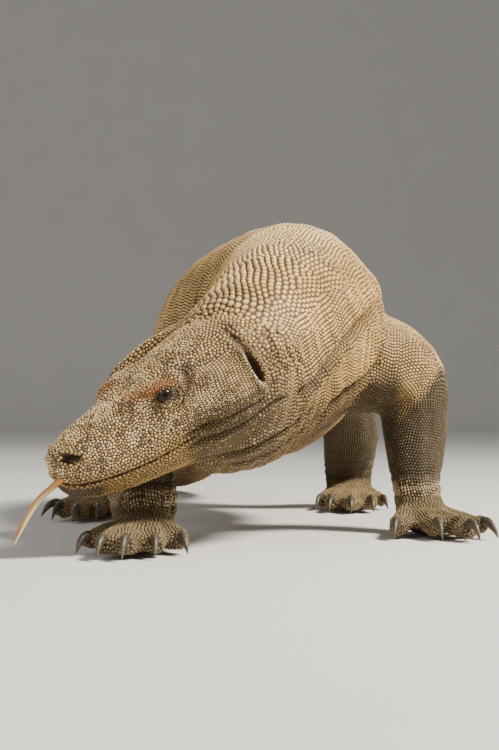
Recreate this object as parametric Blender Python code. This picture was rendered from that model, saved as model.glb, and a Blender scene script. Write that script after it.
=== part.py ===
"""Komodo dragon, life size, walking: the head turned to its right and lowered, the tongue out.

Metres, +Z up. The animal faces -Y and its left side is +X. The flesh is one closed body
made from named stations, parted by thin flat cuts at the places where the animal bends.
Eyes, claws and the tongue are separate solids seated in sockets.
"""

import math

import bmesh
import bpy
from mathutils import Matrix, Vector

# ---- sizes shared by the whole animal ----
GAP = 0.0003
CUT = 0.00035
SWELL = 1.6
GRAIN = 0.0048
SEGMENTS = 64
FLESH_TRIANGLES = 2420
SOFTEN_STEPS = 8
DETAIL_SHARE = 0.006
FLOOR_DEPTH = 0.2

# ---- head: its own axes run from the snout tip backwards, to its left, and up ----
HEAD_LENGTH = 0.232
SNOUT_TIP = Vector((-0.201, 1.69, 0.086))
HEAD_TURN = 61.0
HEAD_PITCH = 28.5
HEAD_ROLL = 9.0

# share of the head length, half width, height above and below the axis, squareness
HEAD_STATIONS = (
    (0.000, 0.016, 0.014, 0.018, 2.0),
    (0.018, 0.025, 0.022, 0.030, 2.2),
    (0.080, 0.032, 0.028, 0.040, 2.5),
    (0.180, 0.0365, 0.033, 0.048, 2.7),
    (0.300, 0.040, 0.037, 0.055, 2.8),
    (0.420, 0.044, 0.041, 0.060, 2.8),
    (0.520, 0.049, 0.049, 0.064, 2.7),
    (0.650, 0.056, 0.056, 0.069, 2.6),
    (0.800, 0.062, 0.062, 0.075, 2.4),
    (0.950, 0.066, 0.064, 0.078, 2.15),
    (1.100, 0.062, 0.057, 0.070, 2.0),
    (1.230, 0.050, 0.042, 0.050, 2.0),
    (1.320, 0.030, 0.022, 0.026, 2.0),
)

# swellings on the head: share of length, sideways, up, and three radii
BROW = (0.53, 0.0355, 0.0370, 0.036, 0.0115, 0.0105)
JAW_MUSCLE = (0.86, 0.045, -0.012, 0.050, 0.024, 0.036)
TEMPLE = (0.82, 0.038, 0.016, 0.046, 0.024, 0.027)
SNOUT_SIDE = (0.12, 0.020, 0.004, 0.022, 0.016, 0.020)

EYE_AT = (0.560, 0.0410, 0.0285)
EYE_RADIUS = 0.0092
NOSTRIL_AT = (0.078, 0.0285, 0.0165)
NOSTRIL_RADII = (0.0062, 0.0034, 0.0042)
EAR_AT = (1.000, 0.067, 0.0065)
EAR_RADII = (0.0050, 0.0085, 0.0165)
# mouth line: share of the head length, height of the line
MOUTH_LINE = ((-0.20, -0.009), (0.00, -0.010), (0.07, -0.0165), (0.14, -0.0205), (0.22, -0.0245),
              (0.32, -0.0275), (0.42, -0.0290), (0.52, -0.0275), (0.64, -0.0240), (0.80, -0.0230),
              (1.50, -0.0280))

# ---- trunk, neck and tail: x, y, z of the centre, half width, rise, drop, lean in degrees ----
SPINE_STATIONS = (
    (-0.058, 1.752, 0.178, 0.050, 0.052, 0.072, 12.0),
    (-0.036, 1.795, 0.184, 0.073, 0.076, 0.108, 12.0),
    (-0.010, 1.840, 0.202, 0.080, 0.092, 0.126, 10.0),
    (0.018, 1.900, 0.224, 0.090, 0.100, 0.130, 8.0),
    (0.043, 1.970, 0.246, 0.103, 0.117, 0.124, 4.0),
    (0.053, 2.050, 0.256, 0.113, 0.130, 0.128, 0.0),
    (0.040, 2.150, 0.250, 0.128, 0.144, 0.138, 0.0),
    (0.014, 2.290, 0.236, 0.144, 0.156, 0.152, 0.0),
    (-0.008, 2.420, 0.232, 0.138, 0.144, 0.146, 0.0),
    (-0.026, 2.540, 0.230, 0.118, 0.120, 0.118, 0.0),
    (-0.038, 2.640, 0.218, 0.100, 0.100, 0.100, 0.0),
    (-0.045, 2.740, 0.186, 0.082, 0.084, 0.086, 0.0),
    (-0.066, 2.890, 0.122, 0.062, 0.066, 0.068, 0.0),
    (-0.112, 3.040, 0.076, 0.052, 0.057, 0.060, 0.0),
    (-0.176, 3.190, 0.053, 0.043, 0.050, 0.051, 0.0),
    (-0.255, 3.380, 0.041, 0.034, 0.042, 0.0425, 0.0),
    (-0.325, 3.580, 0.034, 0.027, 0.035, 0.0355, 0.0),
    (-0.360, 3.780, 0.026, 0.020, 0.027, 0.0275, 0.0),
    (-0.352, 3.930, 0.018, 0.014, 0.019, 0.0195, 0.0),
    (-0.318, 4.030, 0.011, 0.008, 0.011, 0.0120, 0.0),
    (-0.296, 4.072, 0.007, 0.004, 0.006, 0.0060, 0.0),
)

# muscle masses laid over the trunk: centre and three radii
MASSES = (
    ((0.108, 2.050, 0.280), (0.060, 0.095, 0.066)),
    ((0.000, 2.035, 0.276), (0.056, 0.095, 0.066)),
    ((0.030, 2.625, 0.215), (0.056, 0.085, 0.068)),
    ((-0.100, 2.600, 0.215), (0.056, 0.085, 0.068)),
)

# ---- limbs: x, y, z, radius, from inside the trunk to the palm or sole ----
LIMBS = {
    "fore_left": (
        (0.070, 2.055, 0.227, 0.070),
        (0.135, 2.074, 0.213, 0.069),
        (0.181, 2.091, 0.208, 0.058),
        (0.208, 2.106, 0.188, 0.047),
        (0.210, 2.098, 0.142, 0.0450),
        (0.208, 2.078, 0.095, 0.038),
        (0.208, 2.060, 0.058, 0.032),
        (0.210, 2.045, 0.030, 0.031),
    ),
    "fore_right": (
        (0.020, 2.040, 0.236, 0.056),
        (-0.054, 2.018, 0.218, 0.052),
        (-0.107, 1.996, 0.197, 0.046),
        (-0.132, 1.964, 0.161, 0.043),
        (-0.134, 1.918, 0.120, 0.042),
        (-0.126, 1.876, 0.086, 0.041),
        (-0.119, 1.842, 0.058, 0.041),
        (-0.116, 1.820, 0.030, 0.035),
    ),
    "hind_left": (
        (-0.005, 2.625, 0.222, 0.064),
        (0.058, 2.580, 0.214, 0.062),
        (0.110, 2.545, 0.196, 0.056),
        (0.144, 2.540, 0.162, 0.050),
        (0.157, 2.566, 0.124, 0.046),
        (0.158, 2.602, 0.088, 0.043),
        (0.158, 2.632, 0.056, 0.040),
        (0.158, 2.625, 0.030, 0.036),
    ),
    "hind_right": (
        (-0.070, 2.620, 0.220, 0.066),
        (-0.116, 2.560, 0.206, 0.060),
        (-0.146, 2.500, 0.180, 0.052),
        (-0.166, 2.450, 0.148, 0.046),
        (-0.188, 2.425, 0.110, 0.042),
        (-0.204, 2.420, 0.076, 0.038),
        (-0.212, 2.408, 0.050, 0.034),
        (-0.215, 2.384, 0.030, 0.032),
    ),
}

# ---- hands and feet: wrist, then for each digit the root and the claw's point on the ground ----
FEET = {
    "hand_left": {
        "heel": (0.211, 2.052),
        "digits": (
            ((0.190, 2.018), (0.168, 1.920), 0.0140, 0.034),
            ((0.205, 2.004), (0.222, 1.900), 0.0135, 0.036),
            ((0.220, 2.002), (0.262, 1.878), 0.0135, 0.036),
            ((0.233, 2.010), (0.290, 1.928), 0.0130, 0.034),
            ((0.242, 2.028), (0.297, 1.998), 0.0120, 0.030),
        ),
    },
    "hand_right": {
        "heel": (-0.117, 1.822),
        "digits": (
            ((-0.093, 1.788), (-0.064, 1.712), 0.0145, 0.032),
            ((-0.103, 1.768), (-0.095, 1.668), 0.0135, 0.034),
            ((-0.117, 1.762), (-0.127, 1.645), 0.0140, 0.036),
            ((-0.131, 1.770), (-0.153, 1.655), 0.0135, 0.034),
            ((-0.141, 1.790), (-0.180, 1.715), 0.0125, 0.032),
        ),
    },
    "foot_left": {
        "heel": (0.158, 2.630),
        "digits": (
            ((0.132, 2.575), (0.100, 2.505), 0.0130, 0.032),
            ((0.144, 2.560), (0.117, 2.432), 0.0135, 0.034),
            ((0.157, 2.555), (0.148, 2.402), 0.0140, 0.036),
            ((0.170, 2.562), (0.182, 2.422), 0.0135, 0.036),
            ((0.183, 2.600), (0.210, 2.508), 0.0120, 0.030),
        ),
    },
    "foot_right": {
        "heel": (-0.208, 2.392),
        "digits": (
            ((-0.204, 2.338), (-0.208, 2.240), 0.0130, 0.032),
            ((-0.216, 2.333), (-0.236, 2.205), 0.0135, 0.034),
            ((-0.229, 2.338), (-0.268, 2.242), 0.0140, 0.036),
            ((-0.238, 2.352), (-0.292, 2.318), 0.0135, 0.036),
            ((-0.238, 2.384), (-0.286, 2.408), 0.0120, 0.030),
        ),
    },
}
CLAW_RADIUS = 0.0068
CLAW_REACH = 0.70
CLAW_SEAT = 0.008
CLAW_NARROW = 0.72
# share of the way to the point, height of the middle line, share of the root radius
CLAW_PROFILE = ((0.00, 0.0165, 0.92), (0.30, 0.0207, 0.98), (0.60, 0.0188, 0.72),
                (0.84, 0.0112, 0.46), (1.00, 0.0030, 0.17))

# ---- tongue: a stem that forks into two tines ----
TONGUE_STEM = ((-0.150, 1.697, 0.106, 0.0046), (-0.184, 1.691, 0.086, 0.0044),
               (-0.203, 1.688, 0.0725, 0.0037))
TONGUE_TINES = (
    ((-0.199, 1.688, 0.0752, 0.0031), (-0.2109, 1.684, 0.0632, 0.0026),
     (-0.2241, 1.676, 0.0433, 0.0020), (-0.2370, 1.668, 0.0166, 0.0009)),
    ((-0.199, 1.688, 0.0752, 0.0031), (-0.2155, 1.692, 0.0622, 0.0025),
     (-0.2320, 1.701, 0.0380, 0.0018), (-0.2459, 1.712, 0.0161, 0.0009)),
)

# ---- thin flat cuts across the spine: centre, direction across the cut, disc radius ----
SPINE_CUTS = (
    ((-0.026, 1.815, 0.195), (0.32, 0.93, 0.20), 0.155),
    ((0.033, 1.940, 0.235), (0.25, 0.96, 0.12), 0.180),
    ((0.024, 2.230, 0.240), (-0.15, 0.99, 0.0), 0.220),
    ((-0.018, 2.450, 0.228), (-0.10, 0.99, 0.0), 0.220),
    ((-0.044, 2.735, 0.190), (-0.08, 0.97, -0.28), 0.130),
    ((-0.176, 3.190, 0.053), (-0.40, 0.91, 0.0), 0.090),
    ((-0.325, 3.580, 0.034), (-0.28, 0.96, 0.0), 0.070),
)
SPINE_NAMES = ("head", "neck", "shoulders", "belly", "hips", "tail_root", "tail_middle",
               "tail_tip")
SPINE_SEEDS = ((-0.110, 1.740, 0.135), (-0.004, 1.880, 0.215), (0.045, 2.090, 0.250),
               (0.004, 2.350, 0.232), (-0.034, 2.610, 0.218), (-0.100, 2.980, 0.098),
               (-0.250, 3.380, 0.041), (-0.345, 3.800, 0.025))

# limb cuts, as shares of the way along a limb: shoulder, elbow, wrist
LIMB_CUTS = {
    "fore_left": (0.14, 0.50, 0.86),
    "fore_right": (0.14, 0.50, 0.86),
    "hind_left": (0.13, 0.50, 0.77),
    "hind_right": (0.13, 0.50, 0.80),
}
LIMB_NAMES = {
    "fore_left": ("upper_arm_left", "forearm_left", "hand_left"),
    "fore_right": ("upper_arm_right", "forearm_right", "hand_right"),
    "hind_left": ("thigh_left", "shank_left", "foot_left"),
    "hind_right": ("thigh_right", "shank_right", "foot_right"),
}
SLEEVE = 0.008
SLEEVE_RINGS = 4
WRIST_HEIGHT = 0.062
WRIST_DISC = 0.085

# ---- colours: linear red, green, blue, then roughness ----
PAINT = {
    "hide_light": ((0.36, 0.25, 0.15), 0.62),
    "hide_body": ((0.27, 0.19, 0.115), 0.64),
    "hide_head": ((0.20, 0.155, 0.10), 0.55),
    "hide_dark": ((0.115, 0.092, 0.062), 0.62),
    "hide_foot": ((0.085, 0.073, 0.058), 0.60),
    "horn": ((0.10, 0.088, 0.075), 0.35),
    "eye": ((0.012, 0.009, 0.007), 0.08),
    "tongue": ((0.58, 0.36, 0.12), 0.40),
}


def wipe_scene():
    for item in list(bpy.data.objects):
        bpy.data.objects.remove(item, do_unlink=True)


def spline(rows, share):
    """A smooth row of numbers at `share` (0 to 1) along the given rows."""
    last = len(rows) - 1
    place = min(max(share, 0.0), 1.0) * last
    base = min(int(place), last - 1)
    t = place - base
    before = rows[max(base - 1, 0)]
    first = rows[base]
    second = rows[base + 1]
    after = rows[min(base + 2, last)]
    row = []
    for p0, p1, p2, p3 in zip(before, first, second, after):
        slope_a = 0.5 * (p2 - p0)
        slope_b = 0.5 * (p3 - p1)
        h1 = 2 * t ** 3 - 3 * t ** 2 + 1
        h2 = t ** 3 - 2 * t ** 2 + t
        h3 = 3 * t ** 2 - 2 * t ** 3
        h4 = t ** 3 - t ** 2
        row.append(h1 * p1 + h2 * slope_a + h3 * p2 + h4 * slope_b)
    return row


def signed_power(value, power):
    return math.copysign(abs(value) ** power, value)


def skin_rings(bm, rings):
    """Closed tube through rings of equal length, its two ends closed by fans."""
    loops = []
    for ring in rings:
        loops.append([bm.verts.new(point) for point in ring])
    count = len(loops[0])
    for low, high in zip(loops, loops[1:]):
        for i in range(count):
            j = (i + 1) % count
            bm.faces.new((low[i], low[j], high[j], high[i]))
    for loop in (loops[0], loops[-1]):
        middle = Vector((0.0, 0.0, 0.0))
        for vert in loop:
            middle += vert.co
        centre = bm.verts.new(middle / count)
        for i in range(count):
            j = (i + 1) % count
            bm.faces.new((loop[i], loop[j], centre))


def mesh_object(name, bm, face_outwards=True):
    if face_outwards:
        bmesh.ops.recalc_face_normals(bm, faces=bm.faces)
    mesh = bpy.data.meshes.new(name)
    bm.to_mesh(mesh)
    bm.free()
    made = bpy.data.objects.new(name, mesh)
    bpy.context.collection.objects.link(made)
    return made


def head_matrix():
    """From head axes (back, left, up, measured from the snout tip) to the world."""
    turn = Matrix.Rotation(math.radians(-HEAD_TURN), 4, "Z")
    pitch = Matrix.Rotation(math.radians(HEAD_PITCH), 4, "X")
    roll = Matrix.Rotation(math.radians(HEAD_ROLL), 4, "Y")
    # before turning, back is +Y, left is +X and up is +Z
    axes = Matrix(((0, 1, 0, 0), (1, 0, 0, 0), (0, 0, 1, 0), (0, 0, 0, 1)))
    return Matrix.Translation(SNOUT_TIP) @ turn @ pitch @ roll @ axes


def head_point(share, side, up):
    return head_matrix() @ Vector((share * HEAD_LENGTH, side, up))


def head_body():
    bm = bmesh.new()
    rings = []
    steps = 4 * (len(HEAD_STATIONS) - 1)
    for k in range(steps + 1):
        share, half, rise, drop, square = spline(HEAD_STATIONS, k / steps)
        ring = []
        for i in range(SEGMENTS):
            angle = 2.0 * math.pi * i / SEGMENTS
            side = half * signed_power(math.cos(angle), 2.0 / square)
            up = signed_power(math.sin(angle), 2.0 / square)
            up *= rise if up > 0 else drop
            ring.append(head_point(share, side, up))
        rings.append(ring)
    skin_rings(bm, rings)
    return mesh_object("head_body", bm)


def ball(name, centre, radii, matrix=None, level=3):
    bm = bmesh.new()
    bmesh.ops.create_icosphere(bm, subdivisions=level, radius=1.0)
    place = Matrix.Translation(centre) @ Matrix.Diagonal((*radii, 1.0))
    bmesh.ops.transform(bm, matrix=(matrix @ place) if matrix else place, verts=bm.verts)
    return mesh_object(name, bm)


def head_ball(name, spec, side):
    share, across, up, long_radius, wide_radius, high_radius = spec
    centre = (share * HEAD_LENGTH, side * across, up)
    return ball(name, centre, (long_radius, wide_radius, high_radius), head_matrix())


def spine_body():
    bm = bmesh.new()
    rings = []
    steps = 3 * (len(SPINE_STATIONS) - 1)
    rows = [spline(SPINE_STATIONS, k / steps) for k in range(steps + 1)]
    for k, row in enumerate(rows):
        ahead = rows[min(k + 1, steps)]
        behind = rows[max(k - 1, 0)]
        travel = (Vector(ahead[:3]) - Vector(behind[:3])).normalized()
        across = travel.cross(Vector((0, 0, 1))).normalized()
        up = across.cross(travel).normalized()
        lean = Matrix.Rotation(math.radians(row[6]), 3, travel)
        across = lean @ across
        up = lean @ up
        ring = []
        for i in range(SEGMENTS):
            angle = 2.0 * math.pi * i / SEGMENTS
            rise = row[4] if math.sin(angle) > 0 else row[5]
            point = Vector(row[:3]) + across * row[3] * math.cos(angle)
            ring.append(point + up * rise * math.sin(angle))
        rings.append(ring)
    skin_rings(bm, rings)
    return mesh_object("spine_body", bm)


def carried_frames(path):
    """For each point of a path, two directions across it that turn as little as they can."""
    last = len(path) - 1
    across = None
    frames = []
    for k in range(last + 1):
        travel = (path[min(k + 1, last)] - path[max(k - 1, 0)]).normalized()
        if across is None:
            across = travel.cross(Vector((0.0, 0.3, 1.0)))
        across = (across - travel * across.dot(travel)).normalized()
        frames.append((across, across.cross(travel)))
    return frames


def tube(name, rows, steps_per_row=3, segments=20, narrow=1.0):
    """Tube through rows of x, y, z, radius; `narrow` makes it slimmer sideways."""
    bm = bmesh.new()
    steps = steps_per_row * (len(rows) - 1)
    path = [spline(rows, k / steps) for k in range(steps + 1)]
    frames = carried_frames([Vector(row[:3]) for row in path])
    rings = []
    for row, (across, up) in zip(path, frames):
        ring = []
        for i in range(segments):
            angle = 2.0 * math.pi * i / segments
            offset = across * math.cos(angle) * narrow + up * math.sin(angle)
            ring.append(Vector(row[:3]) + offset * row[3])
        rings.append(ring)
    skin_rings(bm, rings)
    bmesh.ops.triangulate(bm, faces=bm.faces)
    return mesh_object(name, bm)


def digit_frame(digit):
    """Root, toe end and claw point of one digit, with its heading on the floor."""
    (root_x, root_y), (tip_x, tip_y), radius, claw = digit
    root = Vector((root_x, root_y, 0.0))
    tip = Vector((tip_x, tip_y, 0.0))
    heading = (tip - root).normalized()
    end = tip - heading * claw * CLAW_REACH
    return root, end, tip, heading, radius, claw


def digit_rows(digit):
    root, end, _tip, heading, radius, _claw = digit_frame(digit)
    rows = []
    for share, height, girth in ((-0.35, 0.020, 1.05), (0.0, 0.0215, 1.12), (0.45, 0.0205, 1.04),
                                 (0.78, 0.0165, 1.03), (1.0, 0.0145, 0.96)):
        place = root.lerp(end, share)
        rows.append((place.x, place.y, height, radius * girth))
    last = end + heading * 0.003
    rows.append((last.x, last.y, 0.0145, radius * 0.60))
    return rows


def claw_solid(name, digit):
    _root, end, tip, heading, _radius, claw = digit_frame(digit)
    start = end - heading * CLAW_SEAT
    reach = (tip - start).length
    rows = []
    for share, height, girth in CLAW_PROFILE:
        place = start + heading * reach * share
        rows.append((place.x, place.y, height * claw / 0.034, CLAW_RADIUS * girth))
    return tube(name, rows, 1, 6, CLAW_NARROW)


def foot_parts(name, spec):
    heel_x, heel_y = spec["heel"]
    parts = []
    roots = [digit_frame(digit)[0] for digit in spec["digits"]]
    middle = sum(roots, Vector((0, 0, 0))) / len(roots)
    spread = max((root - middle).length for root in roots)
    centre = middle.lerp(Vector((heel_x, heel_y, 0)), 0.45)
    reach = (middle - Vector((heel_x, heel_y, 0))).length
    palm = ball(name + "_palm", (centre.x, centre.y, 0.021), (spread * 1.12, reach, 0.024))
    parts.append(palm)
    for number, digit in enumerate(spec["digits"], start=1):
        parts.append(tube(f"{name}_digit_{number}", digit_rows(digit), 3, 14))
    return parts


def apply_modifier(target, modifier):
    bpy.context.view_layer.objects.active = target
    with bpy.context.temp_override(object=target, active_object=target):
        bpy.ops.object.modifier_apply(modifier=modifier.name)


def join(name, parts):
    bm = bmesh.new()
    for part in parts:
        bm.from_mesh(part.data)
        bpy.data.objects.remove(part, do_unlink=True)
    return mesh_object(name, bm)


def combine(target, other, operation):
    modifier = target.modifiers.new("combine", "BOOLEAN")
    modifier.operation = operation
    modifier.solver = "EXACT"
    modifier.object = other
    apply_modifier(target, modifier)
    bpy.data.objects.remove(other, do_unlink=True)


def subtract(target, cutter):
    """Cut a closed solid out of another and drop the cutter."""
    combine(target, cutter, "DIFFERENCE")


def disc(centre, direction, radius):
    """Thin round slab, square to a direction."""
    bm = bmesh.new()
    bmesh.ops.create_cone(bm, cap_ends=True, segments=24, radius1=radius, radius2=radius,
                          depth=CUT)
    turn = Vector(direction).to_track_quat("Z", "Y").to_matrix().to_4x4()
    bmesh.ops.transform(bm, matrix=Matrix.Translation(centre) @ turn, verts=bm.verts)
    return mesh_object("disc", bm)


def floor_block():
    bm = bmesh.new()
    bmesh.ops.create_cube(bm, size=1.0)
    place = Matrix.Translation((0.0, 2.9, -0.5 * FLOOR_DEPTH))
    place = place @ Matrix.Diagonal((2.0, 4.0, FLOOR_DEPTH, 1.0))
    bmesh.ops.transform(bm, matrix=place, verts=bm.verts)
    return mesh_object("floor_block", bm)


def mouth_slab():
    """Thin curved slab along the mouth line, wider than the head."""
    bm = bmesh.new()
    steps = 4 * (len(MOUTH_LINE) - 1)
    rings = []
    for k in range(steps + 1):
        share, height = spline(MOUTH_LINE, k / steps)
        ring = []
        for side, lift in ((-1, -1), (1, -1), (1, 1), (-1, 1)):
            ring.append(head_point(share, side * 0.12, height + lift * 0.5 * CUT))
        rings.append(ring)
    skin_rings(bm, rings)
    return mesh_object("mouth_slab", bm)


def islands(source):
    """Split a mesh into its separate closed bodies."""
    bm = bmesh.new()
    bm.from_mesh(source.data)
    bpy.data.objects.remove(source, do_unlink=True)
    bm.verts.ensure_lookup_table()
    seen = set()
    made = []
    for seed in bm.verts:
        if seed.index in seen:
            continue
        stack = [seed]
        seen.add(seed.index)
        group = []
        while stack:
            vert = stack.pop()
            group.append(vert)
            for edge in vert.link_edges:
                other = edge.other_vert(vert)
                if other.index not in seen:
                    seen.add(other.index)
                    stack.append(other)
        made.append(island_object(bm, group))
    bm.free()
    return made


def island_object(bm, group):
    part = bmesh.new()
    copies = {vert.index: part.verts.new(vert.co) for vert in sorted(group, key=lambda v: v.index)}
    faces = sorted({face for vert in group for face in vert.link_faces}, key=lambda f: f.index)
    for face in faces:
        part.faces.new([copies[vert.index] for vert in face.verts])
    return mesh_object("island", part, face_outwards=False)


def middle_of(made):
    low = Vector((1e9, 1e9, 1e9))
    high = -low
    for vert in made.data.vertices:
        for axis in range(3):
            low[axis] = min(low[axis], vert.co[axis])
            high[axis] = max(high[axis], vert.co[axis])
    return (low + high) / 2.0


def give_name(made, name, named):
    made.name = name
    made.data.name = name
    named[name] = made


def take_nearest(parts, seed):
    """Remove from the list, and return, the body whose middle is nearest to a point."""
    best = min(parts, key=lambda part: (middle_of(part) - Vector(seed)).length)
    parts.remove(best)
    return best


def detail_weights(flesh):
    """Points that keep their detail when the flesh is thinned: the head and the feet."""
    group = flesh.vertex_groups.new(name="plain")
    centres = [Vector((*spec["heel"], 0.0)) for spec in FEET.values()]
    face = head_point(0.55, 0.0, 0.0)
    for vert in flesh.data.vertices:
        weight = 1.0
        if (vert.co - face).length < 0.15:
            weight = 0.4
        for centre in centres:
            if vert.co.z < 0.055 and (vert.co - centre).length < 0.20:
                weight = 0.5
        group.add([vert.index], weight, "REPLACE")
    return group


def flesh_parts():
    parts = [head_body(), spine_body()]
    for side in (1, -1):
        for name, spec in (("brow", BROW), ("jaw_muscle", JAW_MUSCLE), ("temple", TEMPLE),
                           ("snout_side", SNOUT_SIDE)):
            parts.append(head_ball(name, spec, side))
    for centre, radii in MASSES:
        parts.append(ball("mass", centre, radii))
    for name, rows in LIMBS.items():
        parts.append(tube(name, rows))
    for name, spec in FEET.items():
        parts.extend(foot_parts(name, spec))
    return parts


def build_flesh():
    """Blend all the forms into one closed body and thin its mesh."""
    flesh = join("flesh", flesh_parts())
    remesh = flesh.modifiers.new("blend", "REMESH")
    remesh.mode = "VOXEL"
    remesh.voxel_size = GRAIN
    apply_modifier(flesh, remesh)
    soften = flesh.modifiers.new("soften", "SMOOTH")
    soften.factor = 0.5
    soften.iterations = SOFTEN_STEPS
    apply_modifier(flesh, soften)
    group = detail_weights(flesh)
    thin = flesh.modifiers.new("thin", "DECIMATE")
    thin.ratio = FLESH_TRIANGLES / (2.0 * len(flesh.data.polygons))
    thin.vertex_group = group.name
    thin.vertex_group_factor = DETAIL_SHARE
    apply_modifier(flesh, thin)
    return flesh


def limb_place(name, share):
    row = spline(LIMBS[name], share)
    return Vector(row[:3]), row[3]


def limb_sleeve(name):
    """Closed tube a little wider than the upper length of a limb."""
    first, second, _third = LIMB_CUTS[name]
    rows = []
    for k in range(SLEEVE_RINGS):
        centre, radius = limb_place(name, first + (second - first) * k / (SLEEVE_RINGS - 1))
        rows.append((*centre, radius + SLEEVE))
    return tube("sleeve", rows, 1, 18)


def swollen(source, distance):
    """Copy of a closed solid with every side pushed out by at least `distance`."""
    bm = bmesh.new()
    bm.from_mesh(source.data)
    bm.normal_update()
    moves = [vert.normal * distance * SWELL for vert in bm.verts]
    for vert, move in zip(bm.verts, moves):
        vert.co += move
    return mesh_object("swollen", bm)


def duplicate(source):
    made = bpy.data.objects.new("copy", source.data.copy())
    bpy.context.collection.objects.link(made)
    return made


def part_limbs(flesh, named):
    """Free the four limbs from the trunk, each in three lengths, and return the rest."""
    for limb, names in LIMB_NAMES.items():
        sleeve = limb_sleeve(limb)
        upper = duplicate(flesh)
        subtract(flesh, swollen(sleeve, CUT))
        combine(upper, sleeve, "INTERSECT")
        give_name(upper, names[0], named)
    bodies = islands(flesh)
    for limb, names in LIMB_NAMES.items():
        _first, second, third = LIMB_CUTS[limb]
        lower = take_nearest(bodies, limb_place(limb, 0.5 * (second + third))[0])
        centre = limb_place(limb, third)[0]
        centre.z = WRIST_HEIGHT
        subtract(lower, disc(centre, (0.0, 0.0, 1.0), WRIST_DISC))
        pieces = islands(lower)
        give_name(take_nearest(pieces, FEET[names[2]]["heel"] + (0.0,)), names[2], named)
        give_name(take_nearest(pieces, centre), names[1], named)
        check_empty(pieces, limb)
    spine = take_nearest(bodies, (0.0, 2.8, 0.2))
    check_empty(bodies, "spine")
    return spine


def check_empty(parts, where):
    if parts:
        raise RuntimeError(f"{len(parts)} bodies left without a name at {where}")


def part_spine(spine, named):
    """Take one length after another off the back of the body, the head last."""
    rest = spine
    last = len(SPINE_CUTS)
    for k in range(last - 1, -1, -1):
        centre, direction, radius = SPINE_CUTS[k]
        subtract(rest, disc(centre, direction, radius))
        bodies = islands(rest)
        give_name(take_nearest(bodies, SPINE_SEEDS[k + 1]), SPINE_NAMES[k + 1], named)
        rest = take_nearest(bodies, SPINE_SEEDS[0])
        check_empty(bodies, SPINE_NAMES[k + 1])
    give_name(rest, SPINE_NAMES[0], named)


def open_mouth_line(named):
    subtract(named["head"], mouth_slab())
    halves = sorted(islands(named["head"]), key=lambda part: middle_of(part).z)
    for half, name in zip(halves, ("lower_jaw", "head")):
        give_name(half, name, named)


def seat_eyes(named):
    for side, name in ((1, "eye_left"), (-1, "eye_right")):
        share, across, up = EYE_AT
        centre = head_point(share, side * across, up)
        grown = EYE_RADIUS + GAP
        subtract(named["head"], ball("socket", centre, (grown, grown, grown), level=2))
        radii = (EYE_RADIUS, EYE_RADIUS, EYE_RADIUS)
        named[name] = ball(name, centre, radii, level=2)


def sink_pits(named):
    """Nostrils and ear openings."""
    for side in (1, -1):
        for share, across, up, radii in ((*NOSTRIL_AT, NOSTRIL_RADII), (*EAR_AT, EAR_RADII)):
            centre = (share * HEAD_LENGTH, side * across, up)
            pit = ball("pit", centre, radii, head_matrix(), level=2)
            subtract(named["head"], pit)


def seat_claws(named):
    for foot, spec in FEET.items():
        for number, digit in enumerate(spec["digits"], start=1):
            name = f"claw_{foot}_{number}"
            named[name] = claw_solid(name, digit)
            subtract(named[foot], swollen(named[name], GAP))


def seat_tongue(named):
    parts = [tube("tongue", rows, 1, 6) for rows in (TONGUE_STEM, *TONGUE_TINES)]
    tongue = parts[0]
    for other in parts[1:]:
        combine(tongue, other, "UNION")
    named["tongue"] = tongue
    for jaw in ("head", "lower_jaw"):
        subtract(named[jaw], swollen(tongue, GAP))


def paint(named):
    kinds = {
        "head": "hide_head", "lower_jaw": "hide_head", "neck": "hide_light",
        "shoulders": "hide_light", "belly": "hide_body", "hips": "hide_body",
        "tongue": "tongue",
    }
    for name, made in named.items():
        kind = kinds.get(name, "hide_dark")
        if name.startswith("tail"):
            kind = "hide_body"
        if name.startswith("upper_arm"):
            kind = "hide_light"
        if name.startswith(("hand", "foot")):
            kind = "hide_foot"
        if name.startswith("claw"):
            kind = "horn"
        if name.startswith("eye"):
            kind = "eye"
        colour, rough = PAINT[kind]
        material = bpy.data.materials.new(name)
        material.use_nodes = True
        shader = material.node_tree.nodes["Principled BSDF"]
        shader.inputs["Base Color"].default_value = (*colour, 1.0)
        shader.inputs["Roughness"].default_value = rough
        shader.inputs["Metallic"].default_value = 0.0
        made.data.materials.clear()
        made.data.materials.append(material)


def centre_on_floor(named):
    """Put the middle of the whole animal's bounding box over the origin."""
    points = [vert.co for made in named.values() for vert in made.data.vertices]
    shift = Vector((0.0, 0.0, -min(point.z for point in points)))
    shift.x = -0.5 * (min(p.x for p in points) + max(p.x for p in points))
    shift.y = -0.5 * (min(p.y for p in points) + max(p.y for p in points))
    for made in named.values():
        made.data.transform(Matrix.Translation(shift))
    print("centred by", tuple(round(value, 5) for value in shift))


def main():
    wipe_scene()
    named = {}
    flesh = build_flesh()
    subtract(flesh, floor_block())
    part_spine(part_limbs(flesh, named), named)
    open_mouth_line(named)
    seat_eyes(named)
    sink_pits(named)
    seat_claws(named)
    seat_tongue(named)
    paint(named)
    centre_on_floor(named)


main()
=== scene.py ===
"""Komodo dragon, life size: one skin with real scales over it, eyes, claws, tongue and a studio.

Metres. The animal walks towards -Y and its left side is +X. Plan positions are measured from
PLAN_ORIGIN, a point on the floor in front of the animal.
"""

import math

import bmesh
import bpy
import numpy as np
from bpy.props import FloatProperty, FloatVectorProperty, IntProperty, PointerProperty
from mathutils import Matrix, Vector
from mathutils.bvhtree import BVHTree
from mathutils.kdtree import KDTree


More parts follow.
